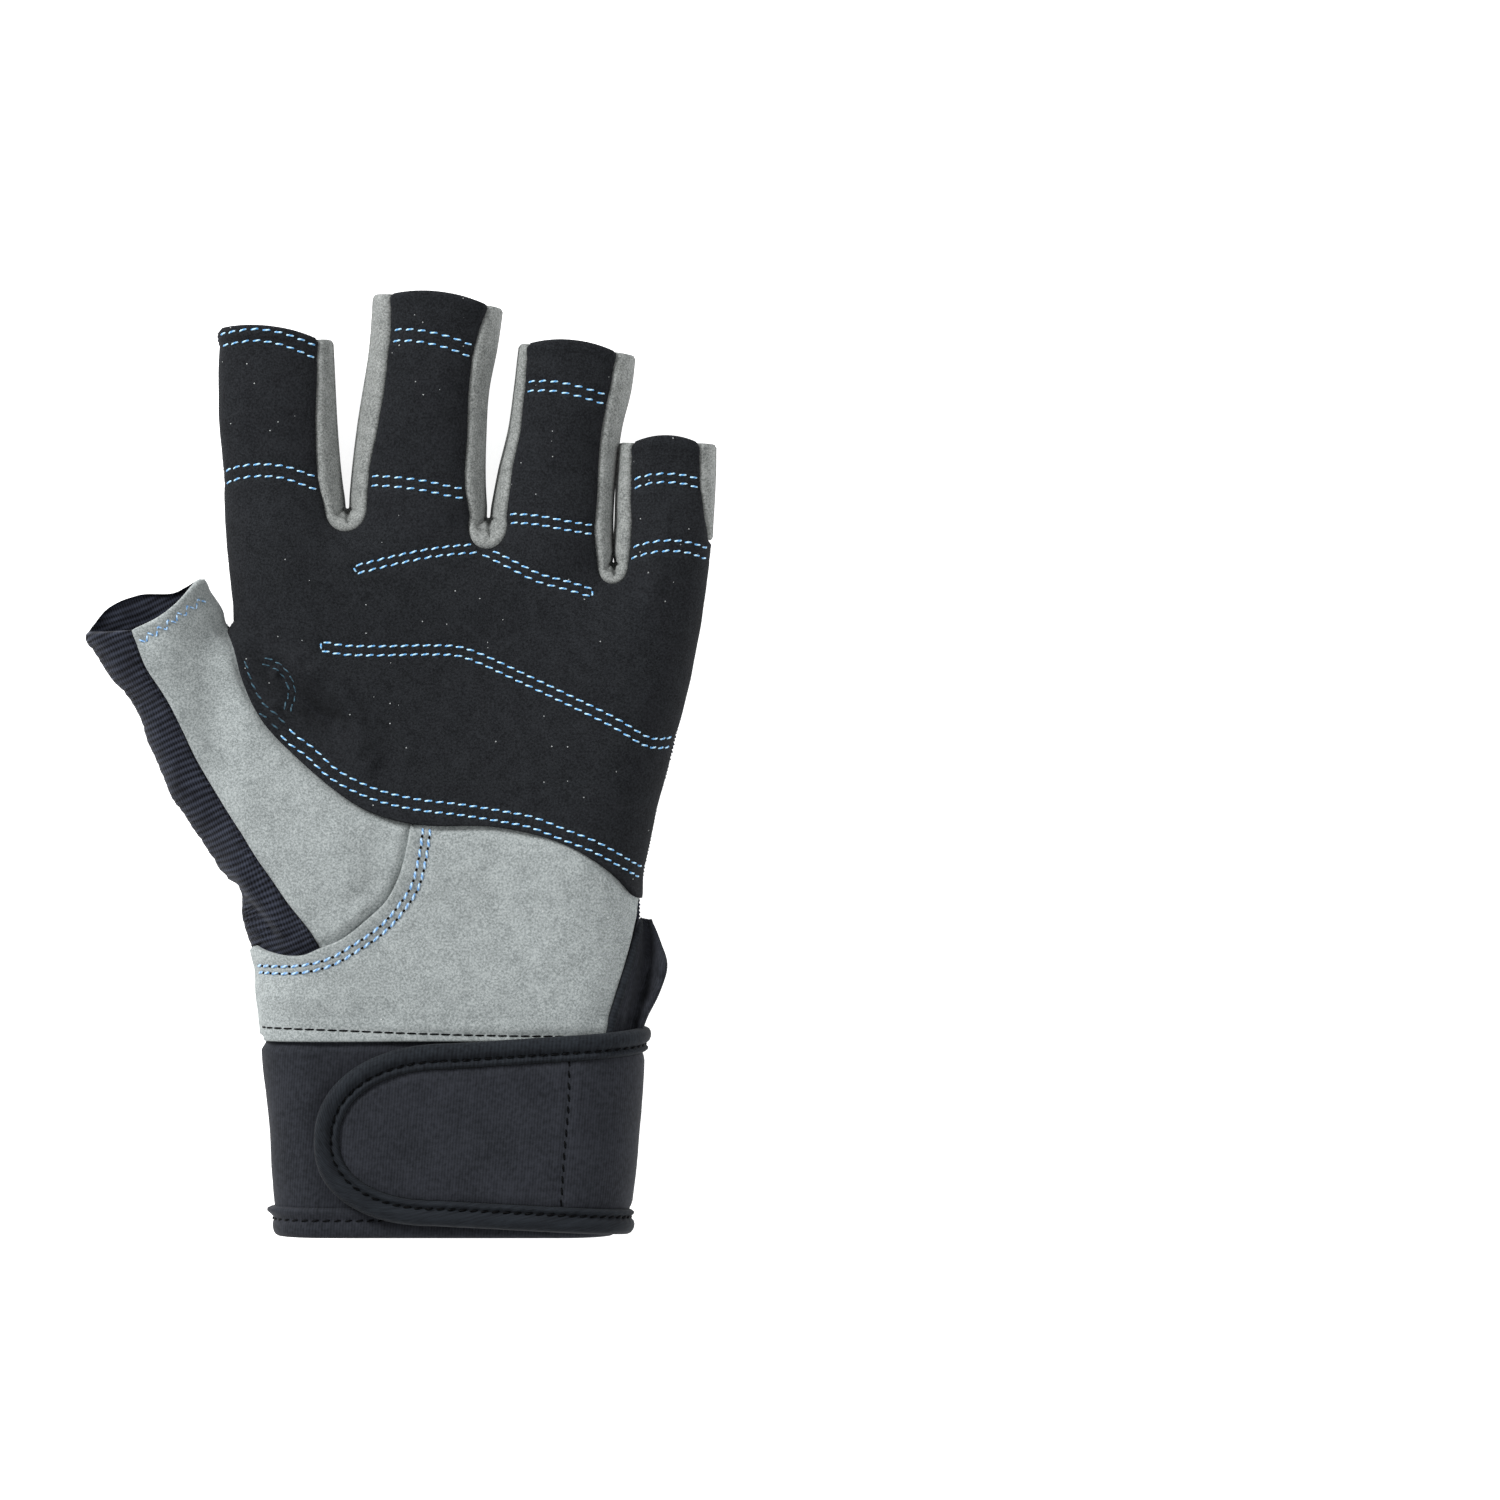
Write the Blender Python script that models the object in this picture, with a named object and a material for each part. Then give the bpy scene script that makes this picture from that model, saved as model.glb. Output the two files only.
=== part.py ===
"""Left-hand sailing glove with open fingertips, lying on its back with the palm up.

X runs across the palm towards the little finger, Y runs towards the fingertips and Z points up.
The origin is on the resting face, under the middle of the palm.

The glove is a flattened tube. Its plan is drawn by six outlines that go clockwise round it: the outer side
of the thumb, the crotch of the thumb, the three gaps between the fingers, and the little finger's side.
From every outline the cloth rises, above and below the middle height, as a quarter of an ellipse, and then
runs level. Each panel is a sheet on that form, cut out by its seams and given the thickness of its cloth.
"""

import math

import bpy
import numpy as np
from mathutils import Vector
from mathutils.geometry import delaunay_2d_cdt

MM = 0.001

# Driving sizes of the hand
PALM_WIDTH = 104 * MM
PALM_LENGTH = 107 * MM
INDEX_LENGTH = 43 * MM
MIDDLE_LENGTH = 50.5 * MM
RING_LENGTH = 40 * MM
LITTLE_LENGTH = 19 * MM
THUMB_LENGTH = 76 * MM
THUMB_THICKNESS = 21 * MM
PALM_THICKNESS = 24 * MM
KNUCKLE_THICKNESS = 21.5 * MM
WRIST_THICKNESS = 20 * MM
THUMB_LIFT = 5 * MM
WEB_RADIUS = 0.9 * MM
TIP_ARCH = 1.6 * MM

# Driving sizes of the cuff and its strap
CUFF_LENGTH = 42 * MM
CUFF_TAPER = 3.6 * MM
HEM_LENGTH = 6 * MM
HEM_PROUD = 0.6 * MM
STRAP_REACH = 76 * MM
STRAP_BACK = 38 * MM
STRAP_ROUND = 27 * MM
STRAP_SQUARENESS = 2.2
BINDING_WIDTH = 5 * MM
VENT_FLARE = 6.5 * MM
VENT_DEPTH = 5 * MM

# Driving sizes of the cloth
SUEDE = 1.2 * MM
KNIT = 1.2 * MM
STRETCH_CLOTH = 1.0 * MM
NEOPRENE = 2.2 * MM
STRAP_THICKNESS = 2.6 * MM
BINDING_THICKNESS = 3.4 * MM
FOURCHETTE_SHOW = 3.2 * MM
FOURCHETTE_BACK = 2.8 * MM
SEAM_GAP = 0.3 * MM

# Plan widths over which the cloth rounds over, from its outline to its level top
PALM_ROUND = 15 * MM
CUFF_ROUND = 11 * MM
THUMB_ROUND = 12.5 * MM

# Mesh steps
SIDE_STEP = 5.5 * MM
VENT_STEP = 2.5 * MM
LATTICE = 7 * MM
SIDE_ANGLES = (0.0, 24.0, 46.0, 68.0)
WEB_ANGLES = (180, 225, 270, 315, 360)
FOURCHETTE_COLUMNS = 6
STRAP_COLUMNS = 16
STRAP_ROWS = 5
STRAP_END_POINTS = 11
RING_COLUMNS = 6
CUFF_ROWS = 3

# Steps in which a lattice point keeps clear of a panel's border, and of the rows up a rounded side
BORDER_CLEAR = 0.42
SIDE_CLEAR = 0.32
SIDE_REACH = 0.75
SHARP_DEGREES = 50
# The most that a seam may turn up a rounded side between two of its points, and the steps that are tried
CLIMB_TURN = 25
CLIMB_STEPS = 25
TINY = 1e-7
SHALLOW_TURN = 0.15

# Each finger: its length beyond the knuckle line, where its middle is as a share of the palm's width,
# its thickness as a share of KNUCKLE_THICKNESS, and the width it rounds over as a share of PALM_ROUND
FINGERS = {
    "index": {"length": INDEX_LENGTH, "middle": -0.33, "thickness": 0.856, "round": 0.747},
    "middle": {"length": MIDDLE_LENGTH, "middle": -0.02, "thickness": 0.884, "round": 0.773},
    "ring": {"length": RING_LENGTH, "middle": 0.25, "thickness": 0.837, "round": 0.707},
    "little": {"length": LITTLE_LENGTH, "middle": 0.46, "thickness": 0.744, "round": 0.627},
}

# Where one size gives way to the next: from and to, as shares of the palm's length
WRIST_TO_PALM = (0.00, 0.35)
PALM_TO_KNUCKLE = (0.55, 0.95)
KNUCKLE_TO_FINGER = (0.92, 1.14)
HAND_TO_THUMB = (0.20, 0.40)
THUMB_CLIMB = (0.30, 0.85)
STRAP_TO_PALM = (0.03, 0.30)
# The same across the hand, as shares of the palm's width
HAND_TO_THUMB_ACROSS = (-0.37, -0.47)
THUMB_CLIMB_ACROSS = (-0.41, -0.57)

# Walls of the three gaps, from the tip of the finger before to the tip of the finger after.
# Columns: finger, share of the palm's width across, share of that finger's length above the knuckle line,
# and how much of the side strip shows, as a share of FOURCHETTE_SHOW.
GAP_WALLS = {
    "index_middle": {
        "before": (
            ("index", -0.220, 0.950, 0.75),
            ("index", -0.211, 0.505, 1.20),
            ("index", -0.203, 0.281, 1.30),
        ),
        "bottom": (-0.190, 1.062, 1.30),
        "after": (
            ("middle", -0.180, 0.261, 1.10),
            ("middle", -0.169, 0.450, 1.40),
            ("middle", -0.145, 0.775, 1.30),
            ("middle", -0.137, 1.000, 1.20),
        ),
    },
    "middle_ring": {
        "before": (
            ("middle", 0.126, 0.940, 0.85),
            ("middle", 0.114, 0.775, 1.20),
            ("middle", 0.097, 0.594, 1.10),
            ("middle", 0.091, 0.388, 1.00),
            ("middle", 0.090, 0.220, 1.15),
        ),
        "bottom": (0.098, 1.032, 1.30),
        "after": (
            ("ring", 0.110, 0.200, 1.00),
            ("ring", 0.120, 0.335, 0.85),
            ("ring", 0.140, 0.548, 0.70),
            ("ring", 0.151, 0.750, 0.60),
            ("ring", 0.162, 1.000, 0.55),
        ),
    },
    "ring_little": {
        "before": (
            ("ring", 0.391, 0.940, 0.95),
            ("ring", 0.381, 0.750, 1.00),
            ("ring", 0.362, 0.548, 0.90),
            ("ring", 0.349, 0.260, 0.85),
            ("ring", 0.345, 0.012, 0.95),
        ),
        "bottom": (0.353, 0.938, 1.25),
        "after": (
            ("little", 0.362, 0.026, 0.80),
            ("little", 0.365, 0.547, 0.70),
            ("little", 0.370, 1.000, 0.70),
        ),
    },
}

# The crotch of the thumb. Columns: shares of the palm's width and of the palm's length.
THUMB_INNER = ((-0.486, 0.910), (-0.462, 0.876), (-0.442, 0.842))
CROTCH_BOTTOM = (-0.428, 0.816)
INDEX_OUTER = ((-0.422, 0.862), (-0.436, 0.975))
# The index finger's outer side beyond the knuckle line: share of the width, share of the finger's length
INDEX_OUTER_TIP = ((-0.444, 0.307), (-0.451, 0.650), (-0.453, 1.000))
# THUMB_LENGTH as a share of PALM_LENGTH in the tables of the thumb
THUMB_DRAWN = 0.7103
# The thumb's outer side from the wrist: share of the width, share of the palm's length
THUMB_OUTER = (
    (-0.364, 0.000),
    (-0.377, 0.110),
    (-0.388, 0.180),
    (-0.402, 0.232),
    (-0.417, 0.281),
    (-0.482, 0.377),
    (-0.547, 0.472),
    (-0.592, 0.578),
    (-0.618, 0.648),
    (-0.677, 0.724),
    (-0.723, 0.794),
)
# The little finger's side, from the tip: share of the width, share of the finger's length
LITTLE_OUTER_TIP = ((0.564, 0.985), (0.562, 0.547))
# The hand's outer side from the knuckle line to the wrist: shares of the width and of the palm's length
HAND_OUTER = (
    (0.555, 0.991),
    (0.544, 0.906),
    (0.525, 0.781),
    (0.499, 0.658),
    (0.466, 0.534),
    (0.436, 0.410),
    (0.415, 0.311),
    (0.404, 0.152),
    (0.385, 0.000),
)

# Seams on the palm side. Columns: shares of the palm's width and of the palm's length.
PALM_LOWER = (
    (-0.408, 0.762),
    (-0.392, 0.707),
    (-0.355, 0.633),
    (-0.290, 0.564),
    (-0.163, 0.465),
    (-0.087, 0.435),
    (-0.023, 0.425),
    (0.117, 0.422),
    (0.244, 0.393),
    (0.321, 0.354),
    (0.372, 0.317),
)
PALM_LOWER_END = 0.274
THUMB_BASE = (
    (-0.048, 0.430),
    (-0.057, 0.377),
    (-0.072, 0.320),
    (-0.099, 0.269),
    (-0.138, 0.232),
    (-0.189, 0.193),
    (-0.237, 0.173),
    (-0.274, 0.159),
    (-0.333, 0.161),
)
THUMB_BASE_END = 0.178
THUMB_SIDE = (
    (-0.620, 0.803),
    (-0.592, 0.730),
    (-0.540, 0.648),
    (-0.488, 0.541),
    (-0.437, 0.459),
    (-0.371, 0.357),
    (-0.307, 0.269),
    (-0.255, 0.206),
)
THUMB_SIDE_FOOT = (-0.237, 0.173)
HEEL_SIDE = ((0.401, 0.222), (0.384, 0.161), (0.366, 0.097), (0.348, 0.037), (0.340, 0.000))
THUMB_BACK_SEAM = ((-0.350, 0.640), (-0.310, 0.400), (-0.330, 0.240))
# The slanted cut of the thumb's mouth on the palm side, and the longer cut behind it
THUMB_MOUTH_FRONT = ((-0.561, 0.832), (-0.524, 0.863))
THUMB_MOUTH_BACK = ((-0.681, 0.848), (-0.619, 0.876), (-0.546, 0.881), (-0.513, 0.896))
# The grey strip on the little finger's outer side: share of the finger's length, share of FOURCHETTE_SHOW
LITTLE_STRIP = ((0.985, 1.10), (0.547, 0.90), (0.200, 0.55), (-0.090, 0.14))

# The vent's flap. Columns of the rows: share of the palm's length, share of the flap's flare.
VENT_ROWS = (
    (0.262, 0.0),
    (0.240, 0.25),
    (0.190, 0.62),
    (0.143, 1.0),
    (0.097, 0.74),
    (0.030, 0.0),
    (0.0, 0.0),
)
# Columns of its section: share of the way from the heel's seam to the side, share of the flare outward,
# share of the depth upward.
VENT_SECTION = (
    (0.00, 0.00, 0.00),
    (0.20, 0.04, -0.10),
    (0.38, 0.15, -0.20),
    (0.52, 0.42, 0.08),
    (0.66, 0.75, 0.45),
    (0.76, 1.00, 0.55),
    (0.86, 0.95, 0.25),
    (0.94, 0.55, 0.03),
    (1.00, 0.00, 0.00),
)
# The strap's upper and lower edges, as shares of the cuff's length above the wrist seam: at the outer side of
# the wrist, and where the rounded end begins
STRAP_TOP = (0.057, -0.019)
STRAP_FOOT = (-0.993, -0.933)
# The binding's section. Columns: share of its width in from the edge, share of its thickness.
BINDING_SECTION = ((0.0, 0.80), (0.35, 1.0), (1.0, 0.76))

# Dents and swells of the palm side. Columns: shares of the palm's width and length, radii as shares of the
# same, and height as a share of the palm's thickness.
DENTS = (
    {"across": 0.05, "along": 0.66, "wide": 0.26, "long": 0.24, "height": -0.10},
    {"across": -0.25, "along": 0.62, "wide": 0.09, "long": 0.08, "height": -0.12},
    {"across": -0.36, "along": 0.74, "wide": 0.05, "long": 0.09, "height": -0.10},
    {"across": -0.18, "along": 0.30, "wide": 0.17, "long": 0.17, "height": 0.08},
    {"across": 0.22, "along": 0.22, "wide": 0.20, "long": 0.16, "height": 0.05},
    {"across": 0.38, "along": 0.72, "wide": 0.12, "long": 0.22, "height": 0.05},
)

BLACK_SUEDE = ("black_suede", (0.011, 0.011, 0.012), 0.85)
GREY_SUEDE = ("grey_suede", (0.19, 0.20, 0.20), 0.9)
BLACK_KNIT = ("black_knit", (0.012, 0.014, 0.020), 0.8)
BLACK_NEOPRENE = ("black_neoprene", (0.014, 0.017, 0.024), 0.75)

RISE = THUMB_BASE_END * PALM_LENGTH
THUMB_GROWTH = THUMB_LENGTH / (THUMB_DRAWN * PALM_LENGTH)
ORIGIN_ALONG = 0.5 * PALM_LENGTH
HEM_TOP = -(CUFF_LENGTH - HEM_LENGTH)
STRAP_BASE = HEM_PROUD + 2 * SEAM_GAP
STRAP_PROUD = STRAP_BASE + BINDING_THICKNESS
RIM_ANGLE = math.degrees(math.asin(SEAM_GAP / WRIST_THICKNESS))


def ease(value):
    """0 below 0, 1 above 1, and a smooth step between."""
    value = np.clip(value, 0.0, 1.0)
    return value * value * (3 - 2 * value)


def ramp(value, span):
    """0 before a span, 1 after it, and a smooth step between."""
    return ease((value - span[0]) / (span[1] - span[0]))


def plan(across, along):
    """A plan point from shares of the palm's width and length."""
    return (across * PALM_WIDTH, along * PALM_LENGTH)


def on_finger(name, across, up):
    """A plan point from a share of the palm's width and a share of a finger's length."""
    return (across * PALM_WIDTH, PALM_LENGTH + up * FINGERS[name]["length"])


def on_thumb(across, along):
    """A plan point of the thumb, which grows from its base with THUMB_LENGTH."""
    return (across * PALM_WIDTH, RISE + (along * PALM_LENGTH - RISE) * THUMB_GROWTH)


def smooth(rows, step):
    """A curve through the rows, cut into steps between them, with every column carried along."""
    rows = np.array(rows, float)
    ahead = np.vstack([2 * rows[0] - rows[1], rows, 2 * rows[-1] - rows[-2]])
    made = [rows[0]]
    for i in range(len(rows) - 1):
        a, b, c, d = ahead[i : i + 4]
        runs = [max(np.linalg.norm((q - p)[:2]), TINY) for p, q in ((a, b), (b, c), (c, d))]
        knots = np.cumsum([0.0, *np.sqrt(runs)])
        count = max(1, round(np.linalg.norm((c - b)[:2]) / step))
        for t in np.linspace(knots[1], knots[2], count + 1)[1:]:
            made.append(catmull_rom(a, b, c, d, knots, t))
    return np.array(made)


def catmull_rom(a, b, c, d, knots, t):
    """One point of a centripetal Catmull-Rom span."""
    k0, k1, k2, k3 = knots
    ab = a * (k1 - t) / (k1 - k0) + b * (t - k0) / (k1 - k0)
    bc = b * (k2 - t) / (k2 - k1) + c * (t - k1) / (k2 - k1)
    cd = c * (k3 - t) / (k3 - k2) + d * (t - k2) / (k3 - k2)
    abc = ab * (k2 - t) / (k2 - k0) + bc * (t - k0) / (k2 - k0)
    bcd = bc * (k3 - t) / (k3 - k1) + cd * (t - k1) / (k3 - k1)
    return abc * (k2 - t) / (k2 - k1) + bcd * (t - k1) / (k2 - k1)


def right_normals(points):
    """Unit normals to the right-hand side of a plan curve, where the cloth is."""
    along = np.gradient(points[:, :2], axis=0)
    along /= np.linalg.norm(along, axis=1)[:, None]
    return np.column_stack([along[:, 1], -along[:, 0]])


def web_arc(bottom, show):
    """The round bottom of a gap, with the share of the strip that shows."""
    centre = np.array(bottom) + (0, WEB_RADIUS)
    angles = np.radians(WEB_ANGLES)
    ring = centre + WEB_RADIUS * np.column_stack([np.cos(angles), np.sin(angles)])
    return np.column_stack([ring, np.full(len(ring), show)])


def notch(before, bottom, show, after):
    """An outline that goes down one wall, round the bottom of a gap and up the other wall."""
    arc = web_arc(bottom, show)
    down = smooth([*before, arc[0]], SIDE_STEP)
    up = smooth([arc[-1], *after], SIDE_STEP)
    return np.vstack([down, arc[1:-1], up]), len(down) + len(arc) // 2 - 1


def gap_outline(name):
    """One gap between two fingers. Columns: x, y, share of the side strip that shows."""
    walls = GAP_WALLS[name]
    across, along, show = walls["bottom"]
    before = [(*on_finger(finger, x, up), s) for finger, x, up, s in walls["before"]]
    after = [(*on_finger(finger, x, up), s) for finger, x, up, s in walls["after"]]
    return notch(before, plan(across, along), show, after)[0]


def crotch_outline():
    """The crotch from the thumb's mouth to the tip of the index finger, and the index of its lowest point."""
    thumb = [(*on_thumb(*row), 1.0) for row in THUMB_INNER]
    index = [(*plan(*row), 1.0) for row in INDEX_OUTER]
    tip = [(*on_finger("index", *row), 1.0) for row in INDEX_OUTER_TIP]
    return notch(thumb, plan(*CROTCH_BOTTOM), 1.0, [*index, *tip])


def cuff_side(side, wrist):
    """The cuff's side from the hem to the wrist seam, as plan points."""
    return [(wrist - side * CUFF_TAPER * share, -CUFF_LENGTH * share) for share in (1.0, 0.5)]


def thumb_outline():
    """The outer side from the hem past the wrist to the tip of the thumb."""
    hand = [plan(*row) for row in THUMB_OUTER if row[1] * PALM_LENGTH <= RISE]
    thumb = [on_thumb(*row) for row in THUMB_OUTER if row[1] * PALM_LENGTH > RISE]
    return smooth([*cuff_side(-1, THUMB_OUTER[0][0] * PALM_WIDTH), *hand, *thumb], SIDE_STEP)


def hand_outline():
    """The little finger's side from its tip past the wrist to the hem."""
    tip = [on_finger("little", *row) for row in LITTLE_OUTER_TIP]
    hand = [plan(*row) for row in HAND_OUTER]
    return smooth([*tip, *hand, *reversed(cuff_side(1, HAND_OUTER[-1][0] * PALM_WIDTH))], SIDE_STEP)


THUMB_SIDE_LINE = thumb_outline()
CROTCH_LINE, CROTCH_LOW = crotch_outline()
GAP_LINES = {name: gap_outline(name) for name in GAP_WALLS}
HAND_SIDE_LINE = hand_outline()
OUTLINES = [THUMB_SIDE_LINE, CROTCH_LINE, *GAP_LINES.values(), HAND_SIDE_LINE]
SEGMENTS = np.vstack([np.hstack([line[:-1, :2], line[1:, :2]]) for line in OUTLINES])


def nearest(points):
    """Distance from each plan point to the outlines, and the unit direction inward from there."""
    start, end = np.hsplit(SEGMENTS, 2)
    run = end - start
    share = np.einsum("pij,ij->pi", points[:, None] - start, run) / (run**2).sum(1)
    foot = start + np.clip(share, 0, 1)[..., None] * run
    away = points[:, None] - foot
    distance = np.linalg.norm(away, axis=2)
    best = distance.argmin(1)
    rows = np.arange(len(points))
    found = distance[rows, best]
    run = run[best] / np.linalg.norm(run[best], axis=1)[:, None]
    across = np.column_stack([run[:, 1], -run[:, 0]])
    inward = np.where(found[:, None] > TINY, away[rows, best] / np.maximum(found, TINY)[:, None], across)
    return found, inward


def by_finger(points, column):
    """A finger's share of a size, blended across the palm from finger to finger."""
    middles = [f["middle"] * PALM_WIDTH for f in FINGERS.values()]
    return np.interp(points[:, 0], middles, [f[column] for f in FINGERS.values()])


def blended(points, cuff, palm, knuckle, fingers, thumb):
    """A size that changes along the hand: at the cuff, the palm, the knuckles, each finger and the thumb."""
    along, across = points[:, 1] / PALM_LENGTH, points[:, 0] / PALM_WIDTH
    hand = cuff + (palm - cuff) * ramp(along, WRIST_TO_PALM)
    hand = hand + (knuckle - hand) * ramp(along, PALM_TO_KNUCKLE)
    hand = hand + (fingers - hand) * ramp(along, KNUCKLE_TO_FINGER)
    return hand + (thumb - hand) * ramp(along, HAND_TO_THUMB) * ramp(across, HAND_TO_THUMB_ACROSS)


def half_thickness(points):
    """Half the thickness of the level part of the glove."""
    fingers = by_finger(points, "thickness") * KNUCKLE_THICKNESS
    return blended(points, WRIST_THICKNESS, PALM_THICKNESS, KNUCKLE_THICKNESS, fingers, THUMB_THICKNESS) / 2


def round_width(points):
    """The plan width over which the cloth rounds over."""
    fingers = by_finger(points, "round") * PALM_ROUND
    return blended(points, CUFF_ROUND, PALM_ROUND, PALM_ROUND, fingers, THUMB_ROUND)


def lift(points):
    """How far the glove's back stands off the resting face: at the thumb, and at the wrist over the strap."""
    along, across = points[:, 1] / PALM_LENGTH, points[:, 0] / PALM_WIDTH
    thumb = THUMB_LIFT * ramp(along, THUMB_CLIMB) * ramp(across, THUMB_CLIMB_ACROSS)
    return thumb + STRAP_PROUD * (1 - ramp(along, STRAP_TO_PALM))


def dents(points):
    """Hollows and swells of the palm side."""
    made = np.zeros(len(points))
    for dent in DENTS:
        x = (points[:, 0] - dent["across"] * PALM_WIDTH) / (dent["wide"] * PALM_WIDTH)
        y = (points[:, 1] - dent["along"] * PALM_LENGTH) / (dent["long"] * PALM_LENGTH)
        made += dent["height"] * PALM_THICKNESS * np.exp(-(x * x + y * y))
    return made


def on_form(points, sine, cosine, inward, side):
    """Places and outward normals on the glove's form, above (side 1) or below (side -1) its middle height."""
    thick, wide = half_thickness(points), round_width(points)
    z = thick + lift(points) + side * thick * sine
    if side > 0:
        z = z + dents(points) * sine * sine
    places = np.column_stack([points, z])
    normals = np.column_stack([-inward * (cosine / wide)[:, None], side * sine / thick])
    return places, normals / np.linalg.norm(normals, axis=1)[:, None]


def side_angle(points):
    """The angle up the rounded side that each plan point has, in degrees: 90 on the level top."""
    cosine = 1 - nearest(points)[0] / round_width(points)
    return np.degrees(np.arccos(np.clip(cosine, 0, 1)))


def climbing(line):
    """A plan line with points added where it climbs a rounded side, so that it follows the form there."""
    made = [line[:1]]
    for start, end in zip(line, line[1:]):
        shares = np.linspace(0, 1, CLIMB_STEPS)
        angles = side_angle(start + (end - start) * shares[:, None])
        count = math.ceil(abs(angles[-1] - angles[0]) / CLIMB_TURN)
        order = np.argsort(angles)
        wanted = np.linspace(angles[0], angles[-1], count + 1)[1:-1]
        cuts = np.sort(np.interp(wanted, angles[order], shares[order]))
        made.append(start + (end - start) * np.append(cuts, 1.0)[:, None])
    return np.vstack(made)


def surface(points, side):
    """Places and normals on the form, over or under plan points."""
    distance, inward = nearest(points)
    cosine = np.clip(1 - distance / round_width(points), 0, 1)
    return on_form(points, np.sqrt(1 - cosine**2), cosine, inward, side)


def at_angle(points, inward, degrees, side):
    """Plan points, places and normals at an angle up the rounded side, from outline points."""
    angle = np.radians(np.broadcast_to(degrees, len(points)).astype(float))
    moved = points + inward * (round_width(points) * (1 - np.cos(angle)))[:, None]
    return moved, *on_form(moved, np.sin(angle), np.cos(angle), inward, side)


def stretch(line, low, high):
    """The part of an outline between two values of y, with exact ends, in the outline's own order."""
    ys = line[:, 1]
    order = 1 if ys[-1] > ys[0] else -1
    ends = [np.array([np.interp(y, ys[::order], line[::order, k]) for k in (0, 1)]) for y in (low, high)]
    inner = line[(ys > low + SEAM_GAP) & (ys < high - SEAM_GAP), :2]
    first, last = ends if order == 1 else ends[::-1]
    return np.vstack([first, inner, last])


def arch(start, end, rise, step=SIDE_STEP):
    """A cut edge that arches between two plan points, with its ends left out."""
    start, end = np.array(start[:2]), np.array(end[:2])
    along = end - start
    count = max(2, round(np.linalg.norm(along) / step))
    out = np.array([-along[1], along[0]]) / np.linalg.norm(along)
    shares = np.linspace(0, 1, count + 1)[:, None]
    return climbing(start + along * shares + out * rise * 4 * shares * (1 - shares))[1:-1]


class Loop:
    """A panel's closed border, clockwise in plan, built from edges, seams and cut ends."""

    def __init__(self, side):
        self.side = side
        self.points, self.kinds, self.insets, self.rings = [], [], [], []

    def add(self, points, kind):
        """kind is edge (on an outline, with a seam there), fold (on an outline, whole cloth), seam or cut."""
        for point in np.asarray(points, float)[:, :2]:
            if self.points and np.linalg.norm(point - self.points[-1]) < SEAM_GAP:
                self.kinds[-1] = self.kinds[-1] if self.kinds[-1] in ("edge", "fold") else kind
                self.insets[-1] = kind == "seam"
                continue
            self.points.append(point)
            self.kinds.append(kind)
            self.insets.append(kind == "seam")
        return self

    def close(self):
        """Insets the seams by half their gap, and gives arrays: plan points, places, normals, kinds."""
        if np.linalg.norm(self.points[0] - self.points[-1]) < SEAM_GAP:
            if self.kinds[-1] in ("edge", "fold"):
                self.kinds[0] = self.kinds[-1]
            self.points.pop(), self.kinds.pop(), self.insets.pop()
        points, kinds = np.array(self.points), np.array(self.kinds)
        ahead = np.roll(points, -1, axis=0) - points
        ahead /= np.linalg.norm(ahead, axis=1)[:, None]
        out = np.column_stack([ahead[:, 1], -ahead[:, 0]])
        amount = np.where(self.insets, SEAM_GAP / 2, 0.0)
        corners = zip(points, np.roll(out, 1, axis=0), np.roll(amount, 1), out, amount)
        moved = np.array([mitre(*corner) for corner in corners])
        places, normals = surface(moved, self.side)
        on_side = np.isin(kinds, ("edge", "fold"))
        if on_side.any():
            _, inward = nearest(moved + out * SEAM_GAP)
            gap_angle = np.degrees(np.arcsin(SEAM_GAP / 2 / half_thickness(moved)))
            angle = np.where(kinds == "fold", 0.0, gap_angle)
            _, side_places, side_normals = at_angle(moved, inward, angle, self.side)
            places[on_side], normals[on_side] = side_places[on_side], side_normals[on_side]
            self.rings = [at_angle(moved[on_side], inward[on_side], a, self.side) for a in SIDE_ANGLES[1:]]
        places[:, :2] = np.where(on_side[:, None], moved, places[:, :2])
        return moved, places, normals


def mitre(point, normal_in, inset_in, normal_out, inset_out):
    """A border corner moved in by its two edges' insets."""
    turn = normal_in[0] * normal_out[1] - normal_in[1] * normal_out[0]
    if abs(turn) < SHALLOW_TURN:
        return point + (normal_in + normal_out) / 2 * (inset_in + inset_out) / 2
    matrix = np.array([normal_in, normal_out])
    return np.linalg.solve(matrix, matrix @ point + (inset_in, inset_out))


def inside(points, border):
    """Which plan points lie in a closed border, and how far each is from it."""
    start, end = border, np.roll(border, -1, axis=0)
    crosses = (start[:, 1] > points[:, None, 1]) != (end[:, 1] > points[:, None, 1])
    rise = end[:, 1] - start[:, 1]
    rise = np.where(rise == 0, TINY**2, rise)
    x = start[:, 0] + (points[:, None, 1] - start[:, 1]) / rise * (end[:, 0] - start[:, 0])
    within = (crosses & (points[:, None, 0] < x)).sum(1) % 2 == 1
    run = end - start
    share = np.clip(np.einsum("pij,ij->pi", points[:, None] - start, run) / (run**2).sum(1), 0, 1)
    away = np.linalg.norm(points[:, None] - (start + share[..., None] * run), axis=2)
    return within, away.min(1)


def lattice(border):
    """Points of a triangular lattice over a border."""
    low, high = border.min(0), border.max(0)
    rows = np.arange(low[1], high[1], LATTICE * math.sqrt(3) / 2)
    starts = low[0] + LATTICE / 2 * (np.arange(len(rows)) % 2)
    return np.array([(x, y) for y, start in zip(rows, starts) for x in np.arange(start, high[0], LATTICE)])


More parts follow.
